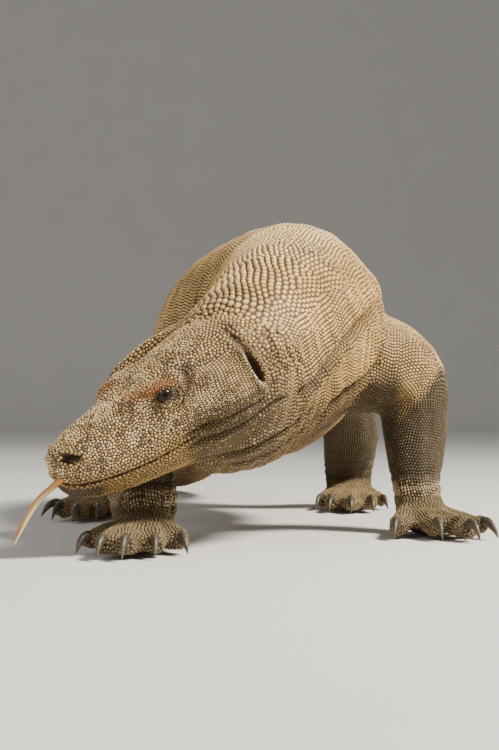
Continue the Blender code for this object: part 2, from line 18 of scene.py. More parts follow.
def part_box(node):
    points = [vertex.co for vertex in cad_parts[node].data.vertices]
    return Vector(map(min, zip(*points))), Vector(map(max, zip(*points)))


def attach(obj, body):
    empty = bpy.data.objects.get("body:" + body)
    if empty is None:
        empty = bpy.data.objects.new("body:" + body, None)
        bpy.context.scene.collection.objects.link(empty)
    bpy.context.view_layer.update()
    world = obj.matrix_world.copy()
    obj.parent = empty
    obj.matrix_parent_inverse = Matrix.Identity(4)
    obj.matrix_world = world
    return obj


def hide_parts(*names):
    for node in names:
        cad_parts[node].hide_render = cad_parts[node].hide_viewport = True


bl_info = {
    "name": "Komodo Dragon",
    "version": (1, 0, 0),
    "blender": (4, 5, 0),
    "location": "3D View > Sidebar > Komodo",
    "description": "Skin, scales, eyes, claws and tongue of a walking Komodo dragon, with its studio",
    "category": "Object",
}

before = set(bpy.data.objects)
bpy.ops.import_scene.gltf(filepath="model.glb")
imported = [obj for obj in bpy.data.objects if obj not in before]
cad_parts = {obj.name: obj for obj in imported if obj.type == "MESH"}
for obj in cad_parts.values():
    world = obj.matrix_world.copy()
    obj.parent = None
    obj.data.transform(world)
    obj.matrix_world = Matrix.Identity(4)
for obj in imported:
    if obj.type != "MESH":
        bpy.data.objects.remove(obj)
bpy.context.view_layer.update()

# ---- the plan of the animal ----
PLAN_ORIGIN = Vector((0.04097, -2.85732, 0.0))
HEAD_LENGTH = 0.232
SNOUT_TIP = Vector((-0.201, 1.69, 0.086))
HEAD_TURN = 61.0
HEAD_PITCH = 28.5
HEAD_ROLL = 9.0

# middle line of the head (share of its length, radius), then of trunk and tail (place, radius)
HEAD_LINE = ((0.05, 0.026), (0.25, 0.042), (0.50, 0.052), (0.75, 0.063))
TRUNK_LINE = (
    (-0.032, 1.800, 0.188, 0.085), (-0.010, 1.840, 0.202, 0.095), (0.018, 1.900, 0.224, 0.103),
    (0.043, 1.970, 0.246, 0.112), (0.053, 2.050, 0.256, 0.121), (0.040, 2.150, 0.250, 0.134),
    (0.014, 2.290, 0.236, 0.149), (-0.008, 2.420, 0.232, 0.141), (-0.026, 2.540, 0.230, 0.119),
    (-0.038, 2.640, 0.218, 0.100), (-0.045, 2.740, 0.186, 0.083), (-0.066, 2.890, 0.122, 0.065),
    (-0.112, 3.040, 0.076, 0.055), (-0.176, 3.190, 0.053, 0.047), (-0.255, 3.380, 0.041, 0.038),
    (-0.325, 3.580, 0.034, 0.031), (-0.360, 3.780, 0.026, 0.024), (-0.352, 3.930, 0.018, 0.017),
    (-0.318, 4.030, 0.011, 0.010), (-0.298, 4.066, 0.007, 0.005),
)
# middle lines of the limbs, from inside the trunk to the palm or sole
LIMB_LINES = {
    "fore_left": (
        (0.110, 2.062, 0.222, 0.070), (0.181, 2.091, 0.208, 0.058), (0.208, 2.106, 0.188, 0.047),
        (0.210, 2.098, 0.142, 0.045), (0.208, 2.078, 0.095, 0.038), (0.208, 2.060, 0.058, 0.032),
        (0.210, 2.045, 0.025, 0.031),
    ),
    "fore_right": (
        (-0.020, 2.030, 0.226, 0.054), (-0.107, 1.996, 0.197, 0.046), (-0.132, 1.964, 0.161, 0.043),
        (-0.134, 1.918, 0.120, 0.042), (-0.126, 1.876, 0.086, 0.041), (-0.119, 1.842, 0.058, 0.041),
        (-0.116, 1.820, 0.025, 0.035),
    ),
    "hind_left": (
        (0.025, 2.605, 0.218, 0.063), (0.110, 2.545, 0.196, 0.056), (0.144, 2.540, 0.162, 0.050),
        (0.157, 2.566, 0.124, 0.046), (0.158, 2.602, 0.088, 0.043), (0.158, 2.632, 0.056, 0.040),
        (0.158, 2.625, 0.025, 0.036),
    ),
    "hind_right": (
        (-0.094, 2.590, 0.213, 0.063), (-0.146, 2.500, 0.180, 0.052), (-0.166, 2.450, 0.148, 0.046),
        (-0.188, 2.425, 0.110, 0.042), (-0.204, 2.420, 0.076, 0.038), (-0.212, 2.408, 0.050, 0.034),
        (-0.215, 2.384, 0.025, 0.032),
    ),
}
# each digit: root on the plan, claw point on the plan, radius, claw length
DIGITS = {
    "hand_left": (
        ((0.190, 2.018), (0.168, 1.920), 0.0140, 0.034), ((0.205, 2.004), (0.222, 1.900), 0.0135, 0.036),
        ((0.220, 2.002), (0.262, 1.878), 0.0135, 0.036), ((0.233, 2.010), (0.290, 1.928), 0.0130, 0.034),
        ((0.242, 2.028), (0.297, 1.998), 0.0120, 0.030),
    ),
    "hand_right": (
        ((-0.093, 1.788), (-0.064, 1.712), 0.0145, 0.032), ((-0.103, 1.768), (-0.095, 1.668), 0.0135, 0.034),
        ((-0.117, 1.762), (-0.127, 1.645), 0.0140, 0.036), ((-0.131, 1.770), (-0.153, 1.655), 0.0135, 0.034),
        ((-0.141, 1.790), (-0.180, 1.715), 0.0125, 0.032),
    ),
    "foot_left": (
        ((0.132, 2.575), (0.100, 2.505), 0.0130, 0.032), ((0.144, 2.560), (0.117, 2.432), 0.0135, 0.034),
        ((0.157, 2.555), (0.148, 2.402), 0.0140, 0.036), ((0.170, 2.562), (0.182, 2.422), 0.0135, 0.036),
        ((0.183, 2.600), (0.210, 2.508), 0.0120, 0.030),
    ),
    "foot_right": (
        ((-0.204, 2.338), (-0.208, 2.240), 0.0130, 0.032), ((-0.216, 2.333), (-0.236, 2.205), 0.0135, 0.034),
        ((-0.229, 2.338), (-0.268, 2.242), 0.0140, 0.036), ((-0.238, 2.352), (-0.292, 2.318), 0.0135, 0.036),
        ((-0.238, 2.384), (-0.286, 2.408), 0.0120, 0.030),
    ),
}
# claws: share of their length beyond the toe, depth in the toe, and radius
CLAW_REACH = 0.70
CLAW_SEAT = 0.008
CLAW_RADIUS = 0.0066
# share of the claw's length, height of its middle over the floor, and share of the radius;
# the heights are those of a claw as long as CLAW_PROFILE_LENGTH
CLAW_PROFILE_LENGTH = 0.034
CLAW_PROFILE = ((0.00, 0.0165, 0.92), (0.30, 0.0207, 0.98), (0.60, 0.0188, 0.74),
                (0.84, 0.0114, 0.46), (1.00, 0.0034, 0.10))

# ---- features of the head: share of its length, sideways, up ----
EYE_AT = (0.560, 0.0410, 0.0285)
EYE_RADIUS = 0.0092
EYE_AIM = Vector((-0.30, 1.0, 0.22)).normalized()
NOSTRIL_AT = (0.068, 0.0275, 0.0140)
EAR_AT = (0.995, 0.067, 0.0110)
# height of the lips' slit at shares of the head's length
MOUTH_LINE = ((-0.20, -0.009), (0.00, -0.010), (0.07, -0.0165), (0.14, -0.0205), (0.22, -0.0245),
              (0.32, -0.0275), (0.42, -0.0290), (0.52, -0.0275), (0.64, -0.0240), (0.80, -0.0230),
              (1.50, -0.0280))
MOUTH_CORNER = 0.62

FLESH = ["head", "lower_jaw", "neck", "shoulders", "belly", "hips", "tail_root", "tail_middle",
         "tail_tip"]
FLESH += [f"{part}_{side}" for part in ("upper_arm", "forearm", "hand", "thigh", "shank", "foot")
          for side in ("left", "right")]
EYES = ("eye_left", "eye_right")
CLAWS = [f"claw_{foot}_{number}" for foot in DIGITS for number in range(1, 6)]


# ---------------------------------------------------------------- settings

class KomodoSizes(bpy.types.PropertyGroup):
    grain: FloatProperty(
        name="Skin grain", description="Spacing of the skin's points", default=0.0045,
        min=0.003, unit="LENGTH")
    depth: FloatProperty(
        name="Skin depth", description="Room left between the scales and the solids",
        default=0.0008, min=0.0, unit="LENGTH")
    seam: FloatProperty(
        name="Scale seam", description="Bare skin left between two scales", default=0.00048,
        min=0.0, unit="LENGTH")
    relief: FloatProperty(
        name="Scale relief", description="Height of a scale as a share of its width",
        default=0.32, min=0.05)
    seed: IntProperty(name="Seed", description="Seed of every random draw", default=7)


def hide_paint(name, description, default):
    return FloatVectorProperty(
        name=name, description=description, subtype="COLOR", default=default)


class KomodoColours(bpy.types.PropertyGroup):
    nape: hide_paint("Nape", "Scales on the nape and shoulders", (0.82, 0.570, 0.285))
    trunk: hide_paint("Trunk", "Scales on the trunk and tail", (0.31, 0.205, 0.100))
    belly: hide_paint("Belly", "Scales under the body", (0.23, 0.140, 0.050))
    crown: hide_paint("Crown", "Darker scales of the head", (0.50, 0.350, 0.180))
    pale: hide_paint("Pale plates", "Whitish scales of snout and crown", (0.98, 0.76, 0.49))
    jaw: hide_paint("Jaw", "Olive yellow of the lips and lower jaw", (0.37, 0.235, 0.062))
    brow: hide_paint("Brow", "Orange stripe over the eye", (0.42, 0.155, 0.014))
    limb: hide_paint("Limbs", "Scales on forearms, thighs and shanks", (0.088, 0.072, 0.042))
    foot: hide_paint("Feet", "Scales on hands and feet", (0.205, 0.156, 0.084))
    # dark of the seams: the skin's own dark colour together with painted shade
    seam: hide_paint("Seams", "Bare skin between the scales", (0.032, 0.018, 0.008))


class KomodoStage(bpy.types.PropertyGroup):
    eye_height: FloatProperty(
        name="Camera height", description="Height of the camera over the floor", default=0.15,
        min=0.02, unit="LENGTH")
    tilt: FloatProperty(
        name="Camera tilt", description="How far the camera looks up",
        default=math.radians(1.2846), subtype="ANGLE")
    lens: FloatProperty(
        name="Lens", description="Focal length in millimetres", default=79.2, min=10.0)
    key: FloatProperty(
        name="Key light", description="Power of the main light, right of the camera",
        default=374.0, subtype="POWER")


# ---------------------------------------------------------------- shader wiring

class Wire:
    """A shader value that adds its own Math nodes when it is used in an expression."""

    def __init__(self, sheet, socket):
        self.sheet = sheet
        self.socket = socket

    def join(self, operation, first, second):
        return self.sheet.node("ShaderNodeMath", {"operation": operation}, {0: first, 1: second})

    def __add__(self, other):
        return self.join("ADD", self, other)

    def __radd__(self, other):
        return self.join("ADD", other, self)

    def __sub__(self, other):
        return self.join("SUBTRACT", self, other)

    def __rsub__(self, other):
        return self.join("SUBTRACT", other, self)

    def __mul__(self, other):
        return self.join("MULTIPLY", self, other)

    def __rmul__(self, other):
        return self.join("MULTIPLY", other, self)

    def between(self, low, high):
        """0 below low, 1 above high and a straight line between."""
        settings = {"clamp": True}
        return self.sheet.node("ShaderNodeMapRange", settings, {0: self, 1: low, 2: high})


class Sheet:
    """The node tree of one material."""

    def __init__(self, name):
        self.material = bpy.data.materials.new(name)
        self.material.use_nodes = True
        self.tree = self.material.node_tree
        self.shader = self.tree.nodes["Principled BSDF"]

    def put(self, socket, value):
        if isinstance(value, Wire):
            self.tree.links.new(value.socket, socket)
        else:
            socket.default_value = value

    def node(self, kind, settings, values, output=0):
        made = self.tree.nodes.new(kind)
        for key, value in settings.items():
            setattr(made, key, value)
        for key, value in values.items():
            self.put(made.inputs[key], value)
        return Wire(self, made.outputs[output])

    def attribute(self, name, output="Color"):
        return self.node("ShaderNodeAttribute", {"attribute_name": name}, {}, output)

    def noise(self, scale, detail):
        """Noise fixed to the object, with `scale` features to the metre."""
        place = self.node("ShaderNodeTexCoord", {}, {}, "Object")
        values = {"Vector": place, "Scale": scale, "Detail": detail}
        return self.node("ShaderNodeTexNoise", {}, values, "Fac")

    def mix(self, share, first, second):
        settings = {"data_type": "RGBA"}
        return self.node("ShaderNodeMix", settings, {0: share, 6: first, 7: second}, 2)

    def bump(self, height, strength, distance):
        values = {"Height": height, "Strength": strength, "Distance": distance}
        return self.node("ShaderNodeBump", {}, values)

    def feed(self, **values):
        for key, value in values.items():
            self.put(self.shader.inputs[key.replace("_", " ")], value)


# ---------------------------------------------------------------- lines through the body

def spline(rows, share):
    """A smooth row of numbers at `share` (0 to 1) along the given rows."""
    last = len(rows) - 1
    place = min(max(share, 0.0), 1.0) * last
    base = min(int(place), last - 1)
    t = place - base
    p0 = np.array(rows[max(base - 1, 0)], float)
    p1 = np.array(rows[base], float)
    p2 = np.array(rows[base + 1], float)
    p3 = np.array(rows[min(base + 2, last)], float)
    h1 = 2 * t ** 3 - 3 * t ** 2 + 1
    h2 = t ** 3 - 2 * t ** 2 + t
    h4 = t ** 3 - t ** 2
    return h1 * p1 + h2 * 0.5 * (p2 - p0) + (1.0 - h1) * p2 + h4 * 0.5 * (p3 - p1)


def head_matrix():
    """From head axes (back, left, up, measured from the snout tip) to the world."""
    turn = Matrix.Rotation(math.radians(-HEAD_TURN), 4, "Z")
    pitch = Matrix.Rotation(math.radians(HEAD_PITCH), 4, "X")
    roll = Matrix.Rotation(math.radians(HEAD_ROLL), 4, "Y")
    axes = Matrix(((0, 1, 0, 0), (1, 0, 0, 0), (0, 0, 1, 0), (0, 0, 0, 1)))
    return Matrix.Translation(PLAN_ORIGIN + SNOUT_TIP) @ turn @ pitch @ roll @ axes


def head_point(share, side, up):
    return head_matrix() @ Vector((share * HEAD_LENGTH, side, up))


def head_axes(points):
    """World points in head axes: share of the head's length, sideways, up."""
    back = np.array(head_matrix().inverted())
    local = points @ back[:3, :3].T + back[:3, 3]
    local[:, 0] /= HEAD_LENGTH
    return local


# distance between two samples of a line
LINE_STEP = 0.004


class Line:
    """A middle line through a length of the body, sampled evenly, with a frame at each sample."""

    def __init__(self, name, kind, rows):
        self.name = name
        self.kind = kind
        dense = np.array([spline(rows, k / 400) for k in range(401)])
        gaps = np.linalg.norm(np.diff(dense[:, :3], axis=0), axis=1)
        run = np.concatenate(([0.0], np.cumsum(gaps)))
        count = max(int(run[-1] / LINE_STEP), 3)
        self.along = np.linspace(0.0, run[-1], count)
        self.points = np.stack([np.interp(self.along, run, dense[:, k]) for k in range(3)], axis=1)
        self.radius = np.interp(self.along, run, dense[:, 3])
        self.length = run[-1]
        self.carry_frames()

    def carry_frames(self):
        travel = np.gradient(self.points, axis=0)
        self.travel = travel / np.linalg.norm(travel, axis=1)[:, None]
        side = np.cross(self.travel[0], (0.0, 0.3, 1.0))
        sides = []
        for direction in self.travel:
            if self.kind == "trunk":
                side = np.cross(direction, (0.0, 0.0, 1.0))
            side = side - direction * np.dot(side, direction)
            side = side / np.linalg.norm(side)
            sides.append(side)
        self.side = np.array(sides)
        self.up = np.cross(self.side, self.travel)


def world_rows(rows):
    """Rows of the plan moved to their place in the world."""
    return [(x + PLAN_ORIGIN.x, y + PLAN_ORIGIN.y, z, radius) for x, y, z, radius in rows]


# middle line of a digit: share of the way from root to toe end, and height
DIGIT_PROFILE = ((-0.15, 0.020), (0.4, 0.020), (0.8, 0.0165), (1.05, 0.0145))


def digit_frame(digit):
    """Root, toe end and claw point of one digit, with its heading on the floor."""
    (root_x, root_y), (tip_x, tip_y), radius, claw = digit
    root = Vector((root_x, root_y, 0.0))
    tip = Vector((tip_x, tip_y, 0.0))
    heading = (tip - root).normalized()
    end = tip - heading * claw * CLAW_REACH
    return root, end, tip, heading, radius, claw


def body_lines():
    """The trunk's line from snout to tail tip, four limbs and twenty digits."""
    head = [(*head_point(share, 0.0, -0.006), radius) for share, radius in HEAD_LINE]
    lines = [Line("trunk", "trunk", head + world_rows(TRUNK_LINE))]
    for name, rows in LIMB_LINES.items():
        lines.append(Line(name, name[:4], world_rows(rows)))
    for foot, digits in DIGITS.items():
        for number, digit in enumerate(digits, start=1):
            root, end, _tip, _heading, radius, _claw = digit_frame(digit)
            rows = [(*root.lerp(end, share).xy, height, radius) for share, height in DIGIT_PROFILE]
            lines.append(Line(f"{foot}_{number}", foot[:4] + "_digit", world_rows(rows)))
    return lines


# points handled at a time when each looks for its line
BATCH = 6000


def owners(points, lines):
    """The line and sample that own each point: the nearest, measured in radii."""
    samples = np.vstack([line.points for line in lines]).astype(np.float32)
    weight = np.concatenate([line.radius for line in lines]).astype(np.float32) ** -2
    number = np.repeat(np.arange(len(lines)), [len(line.points) for line in lines])
    sample = np.concatenate([np.arange(len(line.points)) for line in lines])
    found = np.empty(len(points), int)
    own = (samples ** 2).sum(1)
    for start in range(0, len(points), BATCH):
        part = points[start:start + BATCH].astype(np.float32)
        square = (part ** 2).sum(1)[:, None] - 2.0 * part @ samples.T + own
        found[start:start + BATCH] = (square * weight).argmin(1)
    return number[found], sample[found]


class Places:
    """For points on the hide: the line they belong to, how far along it and the angle round it."""

    def __init__(self, points, lines):
        points = np.asarray(points, float)
        self.line, self.sample = owners(points, lines)
        self.points = points
        self.kind = np.array([line.kind for line in lines])[self.line]
        self.along = np.zeros(len(points))
        self.angle = np.zeros(len(points))
        self.gap = np.zeros(len(points))
        self.travel = np.zeros((len(points), 3))
        self.side = np.zeros((len(points), 3))
        for number, line in enumerate(lines):
            mine = self.line == number
            at = self.sample[mine]
            away = points[mine] - line.points[at]
            side = (away * line.side[at]).sum(1)
            up = (away * line.up[at]).sum(1)
            self.along[mine] = line.along[at] + (away * line.travel[at]).sum(1)
            self.angle[mine] = np.arctan2(up, side)
            self.gap[mine] = np.hypot(up, side)
            self.travel[mine] = line.travel[at]
            self.side[mine] = line.side[at]
        self.head = head_axes(points)

    def rise(self):
        """1 on the back, -1 under the belly."""
        return np.sin(self.angle)


def step_between(values, low, high):
    """0 below low, 1 above high and smooth between."""
    t = np.clip((values - low) / (high - low), 0.0, 1.0)
    return t * t * (3.0 - 2.0 * t)


def step_down(values, low, high):
    """1 below low, 0 above high and smooth between."""
    return 1.0 - step_between(values, low, high)


def ripple(points, size, seed):
    """Smooth pseudo-random field of about -1 to 1 with features of a given size."""
    random = np.random.default_rng(seed)
    total = np.zeros(len(points))
    for _wave in range(9):
        direction = random.normal(size=3)
        direction /= np.linalg.norm(direction)
        wave = 2.0 * math.pi / size * random.uniform(0.55, 1.25)
        total += np.sin(points @ direction * wave + random.uniform(0.0, 6.28))
    return total / 4.2


# ---------------------------------------------------------------- skin

def mesh_points(mesh):
    flat = np.empty(len(mesh.vertices) * 3, np.float32)
    mesh.vertices.foreach_get("co", flat)
    return flat.reshape(-1, 3).astype(float)


def set_points(mesh, points):
    mesh.vertices.foreach_set("co", np.ascontiguousarray(points, np.float32).ravel())
    mesh.update()


def mesh_normals(mesh):
    flat = np.empty(len(mesh.vertices) * 3, np.float32)
    mesh.vertex_normals.foreach_get("vector", flat)
    return flat.reshape(-1, 3).astype(float)


def mesh_edges(mesh):
    flat = np.empty(len(mesh.edges) * 2, np.int32)
    mesh.edges.foreach_get("vertices", flat)
    return flat.reshape(-1, 2)


def link(name, mesh):
    made = bpy.data.objects.new(name, mesh)
    bpy.context.scene.collection.objects.link(made)
    return made


def store_values(mesh, name, values):
    """A number for each point, which the finishes read by its name."""
    layer = mesh.attributes.new(name, "FLOAT", "POINT")
    layer.data.foreach_set("value", np.array(values, np.float32))


def store_colour(mesh, colours):
    """A colour for each point of the hide."""
    layer = mesh.attributes.new("hide", "FLOAT_COLOR", "POINT")
    full = np.concatenate([colours, np.ones((len(colours), 1))], axis=1)
    layer.data.foreach_set("color", full.astype(np.float32).ravel())


# ball that fills the tongue's socket: its place in head axes and radius
MOUTH_PLUG = (0.10, 0.0, -0.018)
MOUTH_PLUG_RADIUS = 0.017
# balls that fill the claws' sockets: height, distance behind the toe's end, share of its radius
TOE_HEIGHT = 0.0165
TOE_PLUG_BACK = 0.0045
TOE_PLUG_SHARE = 0.78
# steps of smoothing for the whole skin, then for the face and its details once they are finer
SKIN_STEPS = 34
FACE_STEPS = 4
DETAIL_STEPS = 2


def closed_flesh():
    """All flesh solids in one mesh, with the sockets of eyes, claws and tongue filled."""
    bm = bmesh.new()
    for name in (*FLESH, *EYES):
        bm.from_mesh(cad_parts[name].data)
    bmesh.ops.remove_doubles(bm, verts=bm.verts, dist=1e-6)
    plugs = [(head_point(*MOUTH_PLUG), MOUTH_PLUG_RADIUS)]
    for digits in DIGITS.values():
        for digit in digits:
            _root, end, _tip, heading, radius, _claw = digit_frame(digit)
            toe = end + PLAN_ORIGIN - heading * TOE_PLUG_BACK
            plugs.append((Vector((toe.x, toe.y, TOE_HEIGHT)), TOE_PLUG_SHARE * radius))
    for middle, radius in plugs:
        plug = Matrix.Translation(middle) @ Matrix.Scale(radius, 4)
        bmesh.ops.create_icosphere(bm, subdivisions=3, radius=1.0, matrix=plug)
    mesh = bpy.data.meshes.new("flesh_copy")
    bm.to_mesh(mesh)
    bm.free()
    return link("flesh_copy", mesh)


def remeshed(source, grain):
    """One closed mesh with even spacing in place of the overlapping solids."""
    blend = source.modifiers.new("blend", "REMESH")
    blend.mode = "VOXEL"
    blend.voxel_size = grain
    graph = bpy.context.evaluated_depsgraph_get()
    mesh = bpy.data.meshes.new_from_object(source.evaluated_get(graph))
    bpy.data.objects.remove(source, do_unlink=True)
    return mesh


def keep_outer_shell(mesh):
    """Drop everything but the largest connected shell."""
    bm = bmesh.new()
    bm.from_mesh(mesh)
    bm.verts.ensure_lookup_table()
    label = [-1] * len(bm.verts)
    groups = []
    for seed in bm.verts:
        if label[seed.index] >= 0:
            continue
        label[seed.index] = len(groups)
        stack = [seed]
        group = []
        while stack:
            vert = stack.pop()
            group.append(vert)
            for edge in vert.link_edges:
                other = edge.other_vert(vert)
                if label[other.index] < 0:
                    label[other.index] = len(groups)
                    stack.append(other)
        groups.append(group)
    groups.sort(key=len)
    for group in groups[:-1]:
        bmesh.ops.delete(bm, geom=group, context="VERTS")
    bm.to_mesh(mesh)
    bm.free()


def relaxed(points, edges, weight, steps, push=0.6, pull=-0.63):
    """Smooth points along their edges without shrinking the form."""
    count = len(points)
    first = edges[:, 0]
    second = edges[:, 1]
    degree = np.bincount(edges.ravel(), minlength=count)[:, None]
    for _step in range(steps):
        for share in (push, pull):
            total = np.zeros_like(points)
            for axis in range(3):
                total[:, axis] = np.bincount(first, points[second, axis], count)
                total[:, axis] += np.bincount(second, points[first, axis], count)
            points = points + (total / degree - points) * (share * weight)[:, None]
    return points


def softness(places):
    """How strongly each place is smoothed: the trunk most, the digits least."""
    weight = np.full(len(places.along), 0.62)
    trunk = places.kind == "trunk"
    weight[trunk] = 0.5 + 0.5 * step_between(places.along[trunk], 0.15, 0.32)
    weight[np.char.endswith(places.kind, "digit")] = 0.22
    low = step_between(places.points[:, 2], 0.03, 0.07)
    foot = ~trunk
    weight[foot] = np.minimum(weight[foot], 0.25 + 0.75 * low[foot])
    return weight


def refined(mesh, chosen):
    """Halve the spacing of the points where `chosen` says."""
    bm = bmesh.new()
    bm.from_mesh(mesh)
    bm.verts.ensure_lookup_table()
    edges = [edge for edge in bm.edges if chosen[edge.verts[0].index] and chosen[edge.verts[1].index]]
    bmesh.ops.subdivide_edges(bm, edges=edges, cuts=1, use_grid_fill=True)
    bm.to_mesh(mesh)
    bm.free()


def soften_refined(mesh, chosen, steps):
    """Smooth only the part that was made finer."""
    points = mesh_points(mesh)
    weight = chosen(points).astype(float)
    set_points(mesh, relaxed(points, mesh_edges(mesh), weight, steps, 0.5, -0.52))


def near_face(points):
    """The head to just behind the ears, where the skin is made finer."""
    local = head_axes(points)
    return (local[:, 0] < 1.18) & (local[:, 0] > -0.2) & (np.abs(local[:, 1]) < 0.1)


def near_detail(points):
    """The places on the head that need the finest points: eyes, nostrils, ears and lips."""
    local = head_axes(points)
    side = np.abs(local[:, 1])
    found = np.zeros(len(points), bool)
    for (share, across, up), reach in ((EYE_AT, 0.019), (NOSTRIL_AT, 0.012), (EAR_AT, 0.024)):
        away = np.stack([(local[:, 0] - share) * HEAD_LENGTH, side - across, local[:, 2] - up], 1)
        found |= (away ** 2).sum(1) < reach ** 2
    lip = local[:, 2] - mouth_height(local[:, 0])
    found |= (np.abs(lip) < 0.006) & (local[:, 0] < MOUTH_CORNER + 0.04)
    return found & near_face(points)


def mouth_height(shares):
    """Height of the lips' slit at shares of the head's length."""
    xs, ys = zip(*MOUTH_LINE)
    return np.interp(shares, xs, ys)


# ---- carving: each function returns how far points move along their normals ----

def hump(values, width):
    """1 at zero, falling away on both sides over about a width."""
    return np.exp(-(values / width) ** 2)


def carve_mouth(local):
    """Slit between the lips, with a swollen lip on either side."""
    reach = step_down(local[:, 0], MOUTH_CORNER - 0.06, MOUTH_CORNER)
    lip = local[:, 2] - mouth_height(local[:, 0])
    move = -0.0030 * hump(lip, 0.0013) + 0.0011 * hump(lip - 0.0042, 0.0030)
    move += 0.0007 * hump(lip + 0.0040, 0.0030)
    return move * reach


def nostril_reach(local):
    """How far each place lies from the nostril: 1 on its rim."""
    along = (local[:, 0] - NOSTRIL_AT[0]) * HEAD_LENGTH
    rise = local[:, 2] - NOSTRIL_AT[2] + 0.22 * along
    away = np.hypot(along / 0.0096, rise / 0.0058)
    return np.where(np.abs(local[:, 1]) > 0.013, away, 9.0)


def carve_nostril(local):
    away = nostril_reach(local)
    return -0.0080 * step_down(away, 0.60, 1.0) + 0.0014 * hump(away - 1.25, 0.24)


def ear_reach(local):
    """How far each place lies from the ear opening: 1 on its rim, and how far behind its middle."""
    along = (local[:, 0] - EAR_AT[0]) * HEAD_LENGTH
    rise = local[:, 2] - EAR_AT[2]
    lean = along + 0.12 * rise
    away = np.hypot(lean / 0.0070, rise / 0.0200)
    return np.where(np.abs(local[:, 1]) > 0.035, away, 9.0), lean


def carve_ear(local):
    away, lean = ear_reach(local)
    rim = 0.0030 * hump(away - 1.22, 0.26) * np.where(lean < 0.0, 1.0, 0.35)
    return -0.0110 * step_down(away, 0.55, 1.0) + rim


def carve_brow(local):
    """Ridge over the eye, hollow before it, lid creases and the swell of the cheek."""
    side = np.abs(local[:, 1])
    share, across, up = EYE_AT
    along = (local[:, 0] - share) * HEAD_LENGTH
    rise = local[:, 2] - up
    ridge = 0.0036 * hump(rise - 0.0128 + 0.12 * along, 0.0040) * hump(along + 0.003, 0.018)
    ridge -= 0.0022 * hump(rise - 0.0070 + 0.12 * along, 0.0018) * hump(along, 0.015)
    hollow = -0.0036 * hump(rise + 0.005, 0.010) * hump(along + 0.023, 0.0085)
    reach = np.hypot(along, rise)
    below = step_down(rise, -0.002, 0.007)
    lids = -0.0024 * hump(reach - 0.0128, 0.0013) * below
    lids -= 0.0026 * hump(reach - 0.0172, 0.0017) * below
    lids += 0.0010 * hump(reach - 0.0195, 0.0020) * below
    cheek = 0.0022 * hump(along - 0.058, 0.026) * hump(rise + 0.022, 0.017)
    near = step_between(side, across - 0.022, across - 0.010)
    return (ridge + hollow + lids + cheek) * near


def flank_height(places):
    """Height round the body in degrees, -90 below and 90 above, the same on both flanks."""
    angle = np.degrees(places.angle)
    return np.where(np.abs(angle) > 90.0, np.sign(angle) * 180.0 - angle, angle)


def carve_folds(points, trunk_line):
    """Loose skin, the same on both flanks: how far points move, and how deep they lie in a groove."""
    body = Places(points, [trunk_line])
    angle = flank_height(body)
    move = np.zeros(len(points))
    sunk = np.zeros(len(points))
    for rows, width, depth in FOLDS:
        path = np.array([spline(rows, k / 20) for k in range(21)])
        close = (body.along > path[:, 0].min() - 0.03) & (body.along < path[:, 0].max() + 0.03)
        place = np.stack([body.along[close], np.radians(angle[close]) * body.gap[close]], axis=1)
        nearest = np.full(len(place), 1e9)
        share = np.zeros(len(place))
        for number, (low, high) in enumerate(zip(path[:-1], path[1:])):
            start = np.stack([np.full(len(place), low[0]), math.radians(low[1]) * body.gap[close]], 1)
            end = np.stack([np.full(len(place), high[0]), math.radians(high[1]) * body.gap[close]], 1)
            run = end - start
            t = np.clip(((place - start) * run).sum(1) / (run ** 2).sum(1), 0.0, 1.0)
            gap = np.linalg.norm(place - (start + t[:, None] * run), axis=1)
            closer = gap < nearest
            nearest[closer] = gap[closer]
            share[closer] = (number + t[closer]) / 20.0
        fade = step_between(share, 0.0, 0.18) * step_down(share, 0.80, 1.0)
        fade = 0.12 + 0.88 * fade
        groove = -depth * hump(nearest, width)
        groove += 0.45 * depth * hump(nearest - 2.2 * width, 1.1 * width)
        move[close] += groove * fade
        sunk[close] = np.maximum(sunk[close], hump(nearest, 1.3 * width) * fade)
    return move, sunk


def carve_wrinkles(places):
    """Slack skin on neck and throat, and creases at wrists and ankles."""
    move = 0.0005 * ripple(places.points, 0.055, 3)
    trunk = places.kind == "trunk"
    slack = step_between(places.along, 0.19, 0.27) * step_down(places.along, 0.50, 0.62)
    slack = slack * step_down(places.rise(), 0.25, 0.8) * trunk
    bend = places.along + 0.012 * ripple(places.points, 0.13, 5)
    move += 0.0009 * slack * np.sin(2.0 * math.pi * bend / 0.021)
    limb = (places.kind == "fore") | (places.kind == "hind")
    height = places.points[:, 2] + 0.003 * ripple(places.points, 0.05, 6)
    for level in (0.048, 0.060, 0.073):
        move -= 0.0020 * hump(height - level, 0.0022) * limb
    digits = np.char.endswith(places.kind, "digit")
    top = step_between(places.points[:, 2], 0.025, 0.035)
    web = digits & (np.abs(places.rise()) < 0.9)
    move -= 0.0016 * top * web * (1.0 - places.rise() ** 2)
    return move


